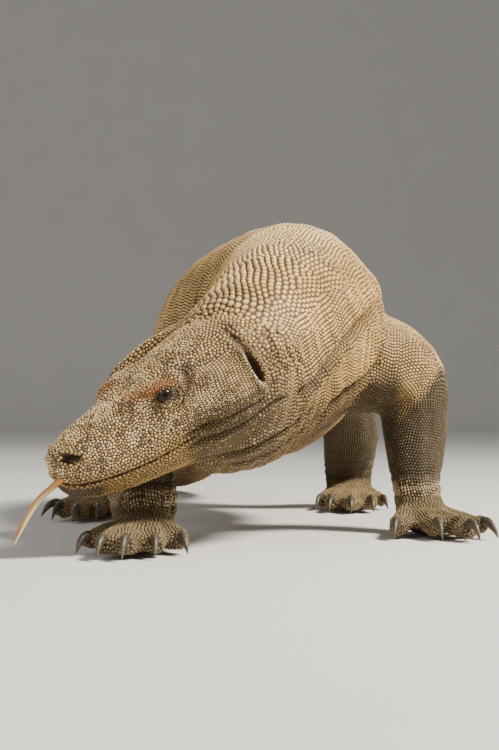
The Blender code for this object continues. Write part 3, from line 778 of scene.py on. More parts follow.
# folds of the flank: rows of how far along the body and how high round it (degrees), half width, depth
FOLDS = (
    (((0.222, 46), (0.212, 30), (0.212, 14), (0.225, -1)), 0.0022, 0.0024),
    (((0.228, 40), (0.226, 26), (0.230, 12), (0.250, -6)), 0.0024, 0.0034),
    (((0.247, 38), (0.242, 22), (0.252, 8), (0.266, -4)), 0.0026, 0.0036),
    (((0.196, 64), (0.192, 49), (0.189, 35), (0.189, 27)), 0.0032, 0.0034),
    (((0.480, 17), (0.395, 9), (0.346, 0), (0.302, -11), (0.270, -21), (0.247, -23)), 0.0060, 0.0095),
    (((0.470, -22), (0.414, -36), (0.365, -41), (0.335, -47), (0.322, -56)), 0.0075, 0.0080),
    (((0.114, -29), (0.139, -22), (0.155, -15), (0.174, -14), (0.200, -14)), 0.0026, 0.0030),
    (((0.118, -41), (0.147, -35), (0.170, -29), (0.203, -21), (0.235, -22)), 0.0032, 0.0038),
    (((0.124, -66), (0.154, -70), (0.186, -64), (0.229, -54), (0.268, -47), (0.302, -39)), 0.0036, 0.0042),
    (((0.176, -80), (0.195, -78), (0.231, -71), (0.271, -62), (0.314, -52)), 0.0030, 0.0022),
    (((0.144, 50), (0.141, 38), (0.139, 26), (0.135, 17), (0.129, 11)), 0.0020, 0.0026),
    (((0.560, 30), (0.540, 5), (0.548, -20), (0.575, -40)), 0.0060, 0.0040),
)


def shape_eye(points):
    """Lids: skin drawn over the ball, open in front of it."""
    for side in (1, -1):
        share, across, up = EYE_AT
        centre = np.array(head_point(share, side * across, up))
        turn = np.array(head_matrix().to_3x3())
        aim = turn @ np.array((EYE_AIM.x, side * EYE_AIM.y, EYE_AIM.z))
        long_way = turn @ np.array((1.0, side * 0.30, 0.10))
        long_way -= aim * (long_way @ aim)
        long_way /= np.linalg.norm(long_way)
        away = points - centre
        gap = np.linalg.norm(away, axis=1)
        near = gap < EYE_RADIUS * 2.0
        ray = away[near] / gap[near][:, None]
        lean = np.arccos(np.clip(ray @ aim, -1.0, 1.0))
        across_ray = ray - (ray @ aim)[:, None] * aim
        size = np.maximum(np.linalg.norm(across_ray, axis=1), 1e-9)
        flat = np.abs(across_ray @ long_way) / size
        high = np.clip(across_ray @ np.cross(long_way, aim) * side / size, 0.0, 1.0)
        opening = np.radians(38.0 - 9.0 * high + 28.0 * flat ** 2)
        over = step_between(lean, opening - 0.07, opening + 0.07)
        lid = EYE_RADIUS + 0.0010 - 0.0012 * step_between(lean, 0.9, 1.6)
        inner = EYE_RADIUS - 0.0022
        reach = gap[near]
        shut = np.maximum(reach, lid)
        shut = np.where(lean < 1.9, shut, reach)
        new = np.where(over > 0.5, shut, np.minimum(reach, inner))
        points[near] = centre + ray * new[:, None]
    return points


def build_skin(sizes):
    """One closed skin just inside the solids, carved with the folds of face and body."""
    lines = body_lines()
    mesh = remeshed(closed_flesh(), sizes.grain)
    keep_outer_shell(mesh)
    points = mesh_points(mesh)
    weight = softness(Places(points, lines))
    set_points(mesh, relaxed(points, mesh_edges(mesh), weight, SKIN_STEPS))
    refined(mesh, near_face(mesh_points(mesh)))
    soften_refined(mesh, near_face, FACE_STEPS)
    refined(mesh, near_detail(mesh_points(mesh)))
    soften_refined(mesh, near_detail, DETAIL_STEPS)
    points = mesh_points(mesh)
    places = Places(points, lines)
    local = places.head
    move = -sizes.depth - sizes.relief * scale_pitch(places)
    face = near_face(points)
    for carve in (carve_mouth, carve_nostril, carve_ear, carve_brow):
        move[face] += carve(local[face])
    move += carve_folds(points, lines[0])[0] + carve_wrinkles(places)
    points = points + mesh_normals(mesh) * move[:, None]
    points = shape_eye(points)
    points[:, 2] = np.maximum(points[:, 2], 0.0004)
    set_points(mesh, points)
    mesh.shade_smooth()
    mesh.name = "skin"
    return link("skin", mesh)


# ---------------------------------------------------------------- colours of the hide

def blend_to(colours, target, share):
    """Colours moved towards the target, by a share of their own for each place."""
    return colours + (np.asarray(target) - colours) * share[:, None]


# lower edge of the shoulder's flap: height round the body (degrees) and how far along it
FLAP_EDGE = ((-56, 0.322), (-47, 0.335), (-41, 0.365), (-36, 0.414), (-22, 0.470))
# where the pale upper arm ends and the dark forearm, partly painted shade, begins: height at the arm's
# middle, and its rise towards the outside
ELBOW_HEIGHT = 0.170
ELBOW_SLOPE = 1.05
# digits beyond this place belong to the hind feet
HIND_FROM = PLAN_ORIGIN.y + 2.20
# one colour each for marks of the hide: the hide's own markings, together with painted shade and painted
# highlights as their names say
FLAP_SHADE = (0.170, 0.105, 0.045)
SHOULDER_GOLD = (0.70, 0.445, 0.160)
WITHERS_PAINTED_HIGHLIGHT = (0.99, 0.74, 0.44)
ELBOW_GOLD = (0.44, 0.27, 0.10)
ARMPIT_PAINTED_SHADE = (0.034, 0.023, 0.011)
HIND_FOOT_TAN = (0.34, 0.245, 0.130)
ANKLE_CREASE_SHADE = (0.030, 0.024, 0.016)
HEAD_DARK = (0.110, 0.078, 0.042)
JOWL_OLIVE = (0.112, 0.084, 0.038)
CHIN_PATCH = (0.055, 0.032, 0.036)
INNER_LIP = (0.24, 0.115, 0.075)
BEHIND_EYE = (0.075, 0.050, 0.025)
BROW_DARK = (0.30, 0.105, 0.020)
UNDER_EYE = (0.85, 0.61, 0.20)
LID_CREASE_SHADE = (0.080, 0.050, 0.030)
LID_RIM = (0.035, 0.022, 0.014)
NOSTRIL_BACK = (0.62, 0.45, 0.17)
NOSTRIL_FRONT = (0.50, 0.24, 0.07)
EAR_RIM_HIGHLIGHT = (0.80, 0.68, 0.44)
OPENING_SHADE = (0.010, 0.007, 0.005)


def hide_colours(places, paint, seed, trunk_line):
    """Colour of the hide at each place, with painted shade in the flank folds, under the shoulder's flap, in
    the armpits, in part on the forearms and at the ankles, and a painted highlight on the withers; each
    scale also gets a draw of its own.
    """
    count = len(places.along)
    random = np.random.default_rng(seed)
    draw = random.random(count)
    points = places.points
    rise = places.rise()
    along = places.along
    trunk = places.kind == "trunk"
    colours = np.tile(np.array(paint.trunk), (count, 1))
    fore_part = trunk * step_down(along, 0.62, 0.95)
    colours = blend_to(colours, paint.nape, fore_part * step_between(rise, -0.75, 0.35))
    shoulder = trunk * step_between(along, 0.27, 0.34) * step_down(along, 0.60, 0.85)
    shoulder = shoulder * step_down(rise, 0.72, 0.94)
    colours = blend_to(colours, SHOULDER_GOLD, 0.75 * shoulder)
    # painted highlight: the top of the withers is painted paler, as if lit from above
    withers = trunk * step_between(along, 0.30, 0.38) * step_down(along, 0.60, 0.78)
    colours = blend_to(colours, WITHERS_PAINTED_HIGHLIGHT, 0.60 * withers * step_between(rise, 0.80, 0.96))
    colours = blend_to(colours, paint.belly, trunk * step_between(-rise, 0.55, 0.95))
    round_it = flank_height(places)
    flap_edge = np.interp(round_it, *zip(*FLAP_EDGE))
    shaded = trunk * step_between(along - flap_edge, -0.004, 0.016) * step_down(along, 0.56, 0.66)
    shaded = shaded * step_down(round_it, -26.0, -18.0)
    colours = blend_to(colours, FLAP_SHADE, 0.75 * shaded)
    limbs = ~trunk
    colours[limbs] = paint.limb
    fore = places.kind == "fore"
    hind = places.kind == "hind"
    left, right = (LIMB_LINES[name][3][0] + PLAN_ORIGIN.x for name in ("fore_left", "fore_right"))
    outward = np.where(points[:, 0] > 0.5 * (left + right), points[:, 0] - left, right - points[:, 0])
    # pale upper arm above this line and dark forearm below: partly the hide's own colours, partly painted
    # shade on the forearm
    over_elbow = points[:, 2] - ELBOW_HEIGHT - ELBOW_SLOPE * outward + 0.007 * ripple(points, 0.035, 41)
    upper = fore * step_between(over_elbow, -0.014, 0.014)
    colours = blend_to(colours, np.array(paint.nape) * 0.90, upper)
    glow = upper * step_down(over_elbow, 0.012, 0.040)
    glow = glow * step_down(outward, -0.012, 0.012)
    colours = blend_to(colours, ELBOW_GOLD, 0.65 * glow)
    # painted shade: the inner side of each upper arm, in the armpit, is painted near black
    armpit = fore * step_down(outward, -0.034, -0.008)
    armpit = armpit * step_down(points[:, 2], 0.180, 0.208)
    colours = blend_to(colours, ARMPIT_PAINTED_SHADE, 0.94 * armpit)
    thigh = limbs * step_between(points[:, 2], 0.16, 0.24) * (places.kind == "hind")
    colours = blend_to(colours, np.array(paint.trunk) * 0.8, thigh)
    feet = limbs * step_down(points[:, 2], 0.035, 0.065)
    colours = blend_to(colours, paint.foot, feet)
    speckled = ripple(points, 0.030, 17)
    beads = limbs * (draw > 0.74 - 0.16 * speckled) * step_between(points[:, 2], 0.03, 0.05)
    beads = beads * np.where(places.kind == "fore", 1.0, 0.45)
    colours = blend_to(colours, np.array(paint.nape) * 0.55, (0.04 + 0.17 * draw) * beads)
    height = points[:, 2] + 0.0016 * ripple(points, 0.030, 42)
    wrist = fore * step_between(height, 0.0430, 0.0490) * step_down(height, 0.0600, 0.0670)
    colours = blend_to(colours, np.array(paint.pale) * 0.62, 0.80 * wrist * (draw > 0.12))
    sole_edge = hind * step_down(points[:, 2], 0.026, 0.034)
    hind_digits = np.char.endswith(places.kind, "digit") * (points[:, 1] > HIND_FROM)
    sole_edge = np.maximum(sole_edge, hind_digits)
    colours = blend_to(colours, HIND_FOOT_TAN, 0.65 * sole_edge)
    # painted shade in two creases round the hind ankles
    creases = hump(points[:, 2] - 0.048, 0.0034) + hump(points[:, 2] - 0.0345, 0.0030)
    colours = blend_to(colours, ANKLE_CREASE_SHADE, 0.85 * (hind * np.clip(creases, 0.0, 1.0)))
    colours = paint_head(colours, places, paint, draw)
    patches = 1.0 + 0.12 * ripple(points, 0.16, 11) + 0.12 * ripple(points, 0.045, 12)
    each = 1.0 + 0.60 * (random.random(count) - 0.5)
    golden = random.random(count)[:, None] * (0.0, 0.10, 0.42)
    colours = colours * (patches * each)[:, None] * (1.0 - golden)
    # painted shade: the hide is darkened in the grooves of the flank folds, most in the middle of each
    # groove
    sunk = carve_folds(points, trunk_line)[1] ** 0.75 * trunk
    colours = blend_to(colours, colours * (0.36, 0.32, 0.28), sunk)
    return colours / np.maximum(1.0, colours.max(1))[:, None]


def paint_head(colours, places, paint, draw):
    """Markings of the head: lips, streaks, stripe over the eye, lids, nostrils and ears, with painted shade
    in the lid creases and inside the ear and nostril openings, and a painted highlight on the ears' front
    rims.
    """
    share, side, up = places.head.T
    side = np.abs(side)
    trunk = places.kind == "trunk"
    head = trunk * step_down(share, 0.95, 1.30)
    head = head * step_down(places.along, 0.27, 0.36)
    colours = blend_to(colours, paint.crown, head * 0.85)
    mottled = head * step_down(share, 0.72, 1.0) * step_between(up, -0.025, 0.0)
    clusters = ripple(places.points, 0.020, 31) + 0.5 * ripple(places.points, 0.009, 32)
    pale = mottled * (draw > 0.57 - 0.38 * clusters)
    colours = blend_to(colours, paint.pale, 0.88 * pale)
    dark = head * (draw < 0.13 - 0.30 * clusters)
    colours = blend_to(colours, HEAD_DARK, 0.75 * dark)
    back_of_head = head * step_between(share, 0.70, 0.95)
    back_of_head = 0.7 * back_of_head * step_between(up, -0.02, 0.03)
    colours = blend_to(colours, np.array(paint.nape) * 0.75, back_of_head)
    lip = up - mouth_height(share)
    jaw = head * step_down(lip, 0.001, 0.016) * step_down(share, 0.75, 1.05)
    colours = blend_to(colours, paint.jaw, 0.75 * jaw)
    golden = head * step_between(share, 0.53, 0.63) * step_down(lip, 0.010, 0.024)
    colours = blend_to(colours, JOWL_OLIVE, 0.85 * golden * (draw < 0.86))
    chin = head * step_down(share, 0.12, 0.20) * step_down(lip, -0.006, -0.003)
    chin = chin * step_between(lip, -0.020, -0.016)
    colours = blend_to(colours, CHIN_PATCH, 0.9 * chin)
    inner_lip = head * hump(lip, 0.0024) * step_down(share, 0.5, 0.62)
    colours = blend_to(colours, INNER_LIP, 0.75 * inner_lip)
    eye_share, eye_side, eye_up = EYE_AT
    along = (share - eye_share) * HEAD_LENGTH
    rise = up - eye_up
    near = head * step_between(side, 0.018, 0.028)
    from_eye = np.hypot(along, rise)
    creases = hump(from_eye - 0.0128, 0.0014) + hump(from_eye - 0.0172, 0.0019)
    creases = creases * step_down(rise, -0.002, 0.006) * near
    ridge = hump(rise + 0.0225 + 0.14 * along, 0.0036) * step_between(along, 0.014, 0.030)
    ridge = ridge * step_down(along, 0.092, 0.110) * (draw > 0.25)
    colours = blend_to(colours, np.array(paint.pale) * 0.85, 0.65 * ridge * near)
    behind = hump(along - 0.0300, 0.0042) * hump(rise - 0.0095, 0.0085)
    colours = blend_to(colours, BEHIND_EYE, 0.85 * behind * near)
    stripe = hump(rise - 0.0098 + 0.10 * along, 0.0058) * hump(along + 0.007, 0.021)
    stripe = stripe * step_down(rise, 0.0140, 0.0180)
    colours = blend_to(colours, paint.brow, np.clip(1.90 * stripe * near, 0.0, 0.95))
    colours = blend_to(colours, BROW_DARK, 0.6 * stripe * near * (draw < 0.30))
    under = hump(np.hypot(along - 0.001, rise) - 0.0132, 0.0036) * step_down(rise, -0.003, 0.004)
    colours = blend_to(colours, UNDER_EYE, 0.95 * under * near * (draw > 0.30))
    # painted shade in the creases of the lids under the eye
    colours = blend_to(colours, LID_CREASE_SHADE, 0.70 * np.clip(creases, 0.0, 1.0))
    middle = np.array(head_point(eye_share, eye_side, eye_up))
    mirrored = np.array(head_point(eye_share, -eye_side, eye_up))
    ball = np.minimum(np.linalg.norm(places.points - middle, axis=1),
                      np.linalg.norm(places.points - mirrored, axis=1))
    almond = np.hypot(along / 0.0150, (rise + 0.14 * along) / 0.0078)
    lids = step_down(almond, 0.85, 1.08) * near
    lids = np.maximum(lids, step_down(ball, 0.0098, 0.0106))
    colours = blend_to(colours, LID_RIM, 0.92 * lids)
    rim = hump(nostril_reach(places.head) - 1.18, 0.20) * head
    rim_colour = np.where((share > NOSTRIL_AT[0])[:, None], NOSTRIL_BACK, NOSTRIL_FRONT)
    colours = blend_to(colours, rim_colour, 0.9 * rim)
    # painted highlight on the front rim of each ear opening
    front_rim, lean = ear_reach(places.head)
    lit = hump(front_rim - 1.20, 0.20) * (lean < 0.0) * trunk
    colours = blend_to(colours, EAR_RIM_HIGHLIGHT, 0.9 * lit)
    # painted shade: the ear and nostril openings are painted near black inside
    pits = 1.0 - step_between(front_rim, 0.55, 1.0) * step_between(nostril_reach(places.head), 0.55, 1.0)
    return blend_to(colours, OPENING_SHADE, pits * trunk)


# ---------------------------------------------------------------- scales

# distances between scales, largest first
SCALE_KINDS = (0.0085, 0.0066, 0.0053, 0.0043, 0.0037, 0.0033, 0.0028)
# how far rows and columns wander, and the pitch over which every other row is shifted
ROW_WAVE = 0.0012
COLUMN_WAVE = 0.0012
STAGGERED_FROM = 0.0060
# rays round the lines of trunk, limbs and digits, to find their rows on the skin
RAYS = {"trunk": 96, "fore": 48, "hind": 48}
DIGIT_RAYS = 24
# least gap between two scales in rows and between loose ones, as shares of their pitch
ROW_GAP = 0.70
LOOSE_GAP = 0.78
# random points tried on each square of skin that is one pitch wide
CROWD = 9.0
# how far scales in rows and loose ones give way to each other, and in how many steps
ROW_EASE = 0.06
LOOSE_EASE = 0.28
EASE_STEPS = 8
# corners of a scale, depth of its edge in the skin, and its rim: share of width and of height
SCALE_CORNERS = 6
EDGE_DEPTH = 0.0005
RIM_WIDTH = 0.76
RIM_HEIGHT = 0.78
# scales this near to a claw's box are looked at, and those this near to the horn are left out
CLAW_MARGIN = 0.002
CLAW_CLEAR = 0.0006


def scale_pitch(places):
    """Distance between two scales at each place."""
    along = places.along
    rise = places.rise()
    share, _side, up = places.head.T
    pitch = np.full(len(along), 0.0053)
    trunk = places.kind == "trunk"
    tail = trunk & (along > 1.15)
    pitch[tail] = 0.0066
    pitch[trunk & (along > 2.30)] = 0.0053
    bend = along + 0.012 * ripple(places.points, 0.09, 21)
    round_it = rise + 0.06 * ripple(places.points, 0.07, 22)
    pitch[trunk & (bend < 0.72)] = 0.0043
    pitch[trunk & (rise < -0.72) & (along > 0.50)] = 0.0066
    pitch[trunk & (bend > 0.19) & (bend < 0.46) & (round_it > 0.40)] = 0.0053
    pitch[trunk & (bend > 0.20) & (bend < 0.385) & (round_it > 0.60)] = 0.0066
    pitch[trunk & (bend > 0.215) & (bend < 0.350) & (round_it > 0.76)] = 0.0085
    head = trunk & (bend <= 0.185)
    pitch[head] = 0.0037
    pitch[head & (share > 0.58) & (up < 0.036)] = 0.0028
    pitch[head & (share <= 0.58)] = 0.0033
    pitch[head & (up < mouth_height(share) + 0.010)] = 0.0033
    near = np.hypot((share - EYE_AT[0]) * HEAD_LENGTH, up - EYE_AT[2])
    pitch[head & (near < 0.016)] = 0.0028
    pitch[trunk & (along < 0.33) & (ear_reach(places.head)[0] < 1.6)] = 0.0028
    limb = (places.kind == "fore") | (places.kind == "hind")
    pitch[limb] = 0.0037
    pitch[limb & (places.points[:, 2] > 0.17)] = 0.0043
    low = ~trunk & (places.points[:, 2] < 0.05)
    pitch[low] = 0.0037
    pitch[~trunk & (places.points[:, 2] < 0.004)] = 0.0066
    return pitch


def rows_apply(places):
    """Where the scales stand in rows; elsewhere they are irregular."""
    share = places.head[:, 0]
    trunk = places.kind == "trunk"
    crown = (share < 0.9) & (places.head[:, 2] > 0.036)
    face = trunk & (places.along < 0.2) & ((share < 0.66) | crown)
    palm = ((places.kind == "fore") | (places.kind == "hind")) & (places.points[:, 2] < 0.035)
    return ~face & ~palm


class Hide:
    """The skin's surface, ready for rays and for finding the nearest place on it."""

    def __init__(self, skin):
        mesh = skin.data
        self.points = mesh_points(mesh)
        self.normals = mesh_normals(mesh)
        self.faces = [tuple(face.vertices) for face in mesh.polygons]
        self.tree = BVHTree.FromPolygons([tuple(p) for p in self.points], self.faces)

    def snap(self, wanted):
        """Nearest surface point and smooth normal for each wanted point."""
        found = np.empty((len(wanted), 3))
        face = np.empty(len(wanted), int)
        for number, point in enumerate(wanted):
            place, _normal, index, _gap = self.tree.find_nearest(point)
            found[number] = place
            face[number] = index
        return found, self.smooth_normals(found, face)

    def smooth_normals(self, found, face):
        normals = np.empty((len(found), 3))
        for number, index in enumerate(face):
            corners = self.faces[index]
            corner_points = self.points[list(corners)]
            gap = np.linalg.norm(corner_points - found[number], axis=1) + 1e-5
            normals[number] = (self.normals[list(corners)] / gap[:, None]).sum(0)
        return normals / np.linalg.norm(normals, axis=1)[:, None]


def ring_grid(line, hide, rays):
    """Where rays from each sample of a line, square to it, meet the skin."""
    angles = np.arange(rays) * 2.0 * math.pi / rays
    grid = np.empty((len(line.points), rays, 3))
    for number, centre in enumerate(line.points):
        origin = Vector(centre)
        for k, angle in enumerate(angles):
            away = line.side[number] * math.cos(angle) + line.up[number] * math.sin(angle)
            hit = hide.tree.ray_cast(origin, Vector(away), 0.3)[0]
            if hit is None:
                hit = centre + away * line.radius[number]
            grid[number, k] = hit
    return grid


def row_points(line, grid, fits, pitch):
    """Points a pitch apart in wavy rings along a line, in columns counted from the mid back."""
    rays = grid.shape[1]
    grid = np.roll(grid, -(rays // 4), axis=1)
    fits = np.roll(fits, -(rays // 4), axis=1)
    turns = np.arange(rays) * 2.0 * math.pi / rays
    wave = ROW_WAVE * (np.sin(5.0 * turns) + 0.6 * np.sin(11.0 * turns + 1.0))
    last = len(line.points) - 1
    stagger = pitch > STAGGERED_FROM
    made = []
    for number in range(int(line.length / pitch)):
        middle = (number + 0.5) * pitch
        if not fits[int(round(middle / line.length * last))].any():
            continue
        place = np.clip((middle + wave) / line.length * last, 0.0, last - 0.001)
        base = place.astype(int)
        t = (place - base)[:, None]
        pick = np.arange(rays)
        ring = grid[base, pick] * (1.0 - t) + grid[base + 1, pick] * t
        allowed = fits[base, pick]
        closed = np.vstack((ring, ring[:1]))
        run = np.concatenate(([0.0], np.cumsum(np.linalg.norm(np.diff(closed, axis=0), axis=1))))
        half = np.arange(0.5 * pitch, 0.5 * run[-1], pitch)
        half = half + COLUMN_WAVE * np.sin(2.0 * math.pi * middle / 0.052 + 40.0 * half)
        stops = np.concatenate((half, run[-1] - half))
        if stagger:
            stops = stops + 0.5 * pitch * (number % 2)
        nearest = np.interp(stops, run, np.arange(rays + 1)).round().astype(int) % rays
        stops = stops[allowed[nearest]]
        made.append(np.stack([np.interp(stops, run, closed[:, axis]) for axis in range(3)], axis=1))
    return np.vstack(made) if made else np.zeros((0, 3))


def spread(points, gaps, taken=None):
    """Indexes of points that keep their gap to each other and to those already taken."""
    cell = gaps.max()
    cells = {}
    kept = []
    for number, (point, gap) in enumerate(zip(points.tolist(), gaps.tolist())):
        if taken is not None and taken.find(point)[2] < gap:
            continue
        x, y, z = point
        key = (int(x // cell), int(y // cell), int(z // cell))
        square = gap * gap
        if crowded(cells, key, point, square):
            continue
        cells.setdefault(key, []).append(point)
        kept.append(number)
    return np.array(kept, int)


def crowded(cells, key, point, square):
    """True if a point that was kept lies within the gap, given as its square."""
    x, y, z = point
    for i in (-1, 0, 1):
        for j in (-1, 0, 1):
            for k in (-1, 0, 1):
                for a, b, c in cells.get((key[0] + i, key[1] + j, key[2] + k), ()):
                    if (a - x) ** 2 + (b - y) ** 2 + (c - z) ** 2 < square:
                        return True
    return False


def tree_of(points):
    tree = KDTree(len(points))
    for number, point in enumerate(points):
        tree.insert(point, number)
    tree.balance()
    return tree


def bare_places(places):
    """Places that take no scale: eye openings, nostrils, the mouth and the ear openings."""
    share, _side, up = places.head.T
    near = (places.kind == "trunk") & (share < 1.2) & (places.along < 0.33)
    bare = near & (nostril_reach(places.head) < 1.08)
    bare |= near & (ear_reach(places.head)[0] < 0.96)
    bare |= near & (np.abs(up - mouth_height(share)) < 0.0009) & (share < MOUTH_CORNER)
    for way in (1, -1):
        middle = np.array(head_point(EYE_AT[0], way * EYE_AT[1], EYE_AT[2]))
        bare |= np.linalg.norm(places.points - middle, axis=1) < EYE_RADIUS + 0.0006
    return bare


def lip_points(hide):
    """One row of plates along each lip, on both sides and round the front."""
    wanted = []
    for lift, pitch in ((0.0030, 0.0050), (-0.0030, 0.0048), (0.0072, 0.0042), (-0.0070, 0.0042)):
        for side in (1, -1):
            share = MOUTH_CORNER - 0.02
            while share > 0.07:
                height = mouth_height(share) + lift
                wanted.append((head_point(share, 0.0, height), (0.0, side, 0.0)))
                share -= pitch / HEAD_LENGTH
            for angle in np.arange(0.12, 1.5, 0.22):
                height = mouth_height(0.07 - 0.07 * math.sin(angle)) + lift
                way = (-math.sin(angle), side * math.cos(angle), 0.0)
                wanted.append((head_point(0.07, 0.0, height), way))
    turn = head_matrix().to_3x3()
    found = []
    for origin, way in wanted:
        hit = hide.tree.ray_cast(origin, turn @ Vector(way), 0.1)[0]
        if hit is not None:
            found.append(hit)
    return np.array(found)


def surface_samples(skin, lines, seed):
    """Random points all over the skin, more where the scales are small, and the pitch at each."""
    mesh = skin.data
    mesh.calc_loop_triangles()
    flat = np.empty(len(mesh.loop_triangles) * 3, np.int32)
    mesh.loop_triangles.foreach_get("vertices", flat)
    corners = mesh_points(mesh)[flat.reshape(-1, 3)]
    pitch = scale_pitch(Places(corners.mean(1), lines))
    area = np.linalg.norm(np.cross(corners[:, 1] - corners[:, 0], corners[:, 2] - corners[:, 0]), axis=1)
    wanted = 0.5 * area / pitch ** 2
    random = np.random.default_rng(seed)
    count = int(wanted.sum() * CROWD)
    pick = random.choice(len(area), count, p=wanted / wanted.sum())
    first = np.sqrt(random.random(count))[:, None]
    second = random.random(count)[:, None]
    chosen = corners[pick]
    place = chosen[:, 0] * (1 - first) + chosen[:, 1] * first * (1 - second)
    place = place + chosen[:, 2] * first * second
    return place, pitch[pick]


def even_out(roots, wanted, ease):
    """Let crowded scales push each other into the gaps, each as far as its ease allows."""
    near = neighbours(roots, 7)
    wanted = 0.5 * (wanted[:, None] + wanted[near])
    for _step in range(EASE_STEPS):
        away = roots[:, None, :] - roots[near]
        gap = np.maximum(np.linalg.norm(away, axis=2), 1e-6)
        push = np.clip(1.0 - gap / (0.99 * wanted), 0.0, 0.5) * wanted / gap
        roots = roots + ease[:, None] * (away * push[:, :, None]).sum(1)
    return roots


def neighbours(roots, count):
    """The nearest scales to each scale."""
    tree = tree_of(roots)
    near = np.empty((len(roots), count), int)
    for number, point in enumerate(roots):
        near[number] = [index for _co, index, _gap in tree.find_n(point, count + 1)[1:]]
    return near


def scale_roots(skin, hide, lines, seed):
    """Where every scale sits: plates along the lips, rows round body and limbs, then the rest."""
    roots = [lip_points(hide)]
    grids = []
    for number, line in enumerate(lines):
        rays = RAYS.get(line.kind, DIGIT_RAYS)
        grid = ring_grid(line, hide, rays)
        places = Places(grid.reshape(-1, 3), lines)
        kinds = scale_pitch(places) * ((places.line == number) & rows_apply(places))
        grids.append((grid, kinds.reshape(len(grid), rays)))
    for kind in SCALE_KINDS:
        batch = [row_points(line, grid, np.abs(kinds - kind) < 1e-5, kind)
                 for line, (grid, kinds) in zip(lines, grids)]
        batch = np.vstack(batch)
        if len(batch):
            taken = tree_of(np.vstack(roots))
            roots.append(batch[spread(batch, np.full(len(batch), ROW_GAP * kind), taken)])
    roots = np.vstack(roots)
    loose, gaps = surface_samples(skin, lines, seed)
    in_rows = len(roots)
    roots = np.vstack((roots, loose[spread(loose, LOOSE_GAP * gaps, tree_of(roots))]))
    ease = np.where(np.arange(len(roots)) < in_rows, ROW_EASE, LOOSE_EASE)
    roots = even_out(roots, scale_pitch(Places(roots, lines)), ease)
    roots, normals = hide.snap(roots)
    places = Places(roots, lines)
    keep = ~bare_places(places) & ~on_claws(places)
    return roots[keep], normals[keep]


def on_claws(places):
    """True where the surface lies in or right beside a claw."""
    found = np.zeros(len(places.along), bool)
    for name in CLAWS:
        low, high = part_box(name)
        over = places.points > np.array(low) - CLAW_MARGIN
        under = places.points < np.array(high) + CLAW_MARGIN
        close = np.all(over & under, axis=1)
        if close.any():
            solid = solid_tree(name)
            for number in np.flatnonzero(close):
                point = Vector(places.points[number])
                near, normal, _index, _gap = solid.find_nearest(point)
                if (point - near).dot(normal) < CLAW_CLEAR:
                    found[number] = True
    return found


def solid_tree(name):
    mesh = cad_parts[name].data
    points = [vert.co for vert in mesh.vertices]
    return BVHTree.FromPolygons(points, [tuple(face.vertices) for face in mesh.polygons])


def scale_outlines(roots, first, second, pitch, seam):
    """Reach of each scale in a fan of directions, up to half way to its neighbours."""
    offset = roots[neighbours(roots, 8)] - roots[:, None, :]
    a = (offset * first[:, None, :]).sum(2)
    b = (offset * second[:, None, :]).sum(2)
    square = (offset ** 2).sum(2)
    angles = (np.arange(SCALE_CORNERS) + 0.5) * 2.0 * math.pi / SCALE_CORNERS
    reach = np.empty((len(roots), SCALE_CORNERS))
    for k, angle in enumerate(angles):
        toward = a * math.cos(angle) + b * math.sin(angle)
        limit = np.where(toward > 1e-6, 0.5 * square / np.maximum(toward, 1e-6), 1.0)
        reach[:, k] = limit.min(1) - seam * (0.30 + 0.55 * abs(math.sin(angle)))
    return np.clip(reach, 0.12 * pitch[:, None], 0.70 * pitch[:, None]), angles


# where each line's scales lie on the unit square: left, bottom, width, height
CHARTS = {"trunk": (0.0, 0.0, 1.0, 0.62), "fore_left": (0.0, 0.64, 0.24, 0.34),
          "fore_right": (0.25, 0.64, 0.24, 0.34), "hind_left": (0.50, 0.64, 0.24, 0.34),
          "hind_right": (0.75, 0.64, 0.24, 0.34)}
# size of one scale on the unit square
PATCH = 0.003


def limb_of(line):
    """The limb that a limb's or a digit's line belongs to, such as fore_left."""
    limb = {"hand": "fore", "foot": "hind"}.get(line.name[:4], line.name[:4])
    side = "left" if "left" in line.name else "right"
    return f"{limb}_{side}"


def chart_places(places, lines):
    """The root of each scale on an unwrap of the skin: along its line and round it."""
    made = np.zeros((len(places.along), 2))
    turn = places.angle / (2.0 * math.pi) + 0.5
    for number, line in enumerate(lines):
        mine = places.line == number
        share = np.clip(places.along[mine] / line.length, 0.0, 1.0)
        round_it = turn[mine]
        if line.name == "trunk":
            back = share > 0.5
            made[mine, 0] = np.where(back, share * 2.0 - 1.0, share * 2.0) * 0.98 + 0.01
            made[mine, 1] = np.where(back, 0.42 + 0.2 * round_it, 0.41 * round_it)
            continue
        left, bottom, width, height = CHARTS[limb_of(line)]
        if line.name in CHARTS:
            made[mine, 0] = left + 0.62 * width * share
            made[mine, 1] = bottom + height * round_it
        else:
            digit = int(line.name[-1]) - 1
            made[mine, 0] = left + width * (0.64 + 0.36 * share)
            made[mine, 1] = bottom + height * (digit + 0.95 * round_it) / 5.0
    return made


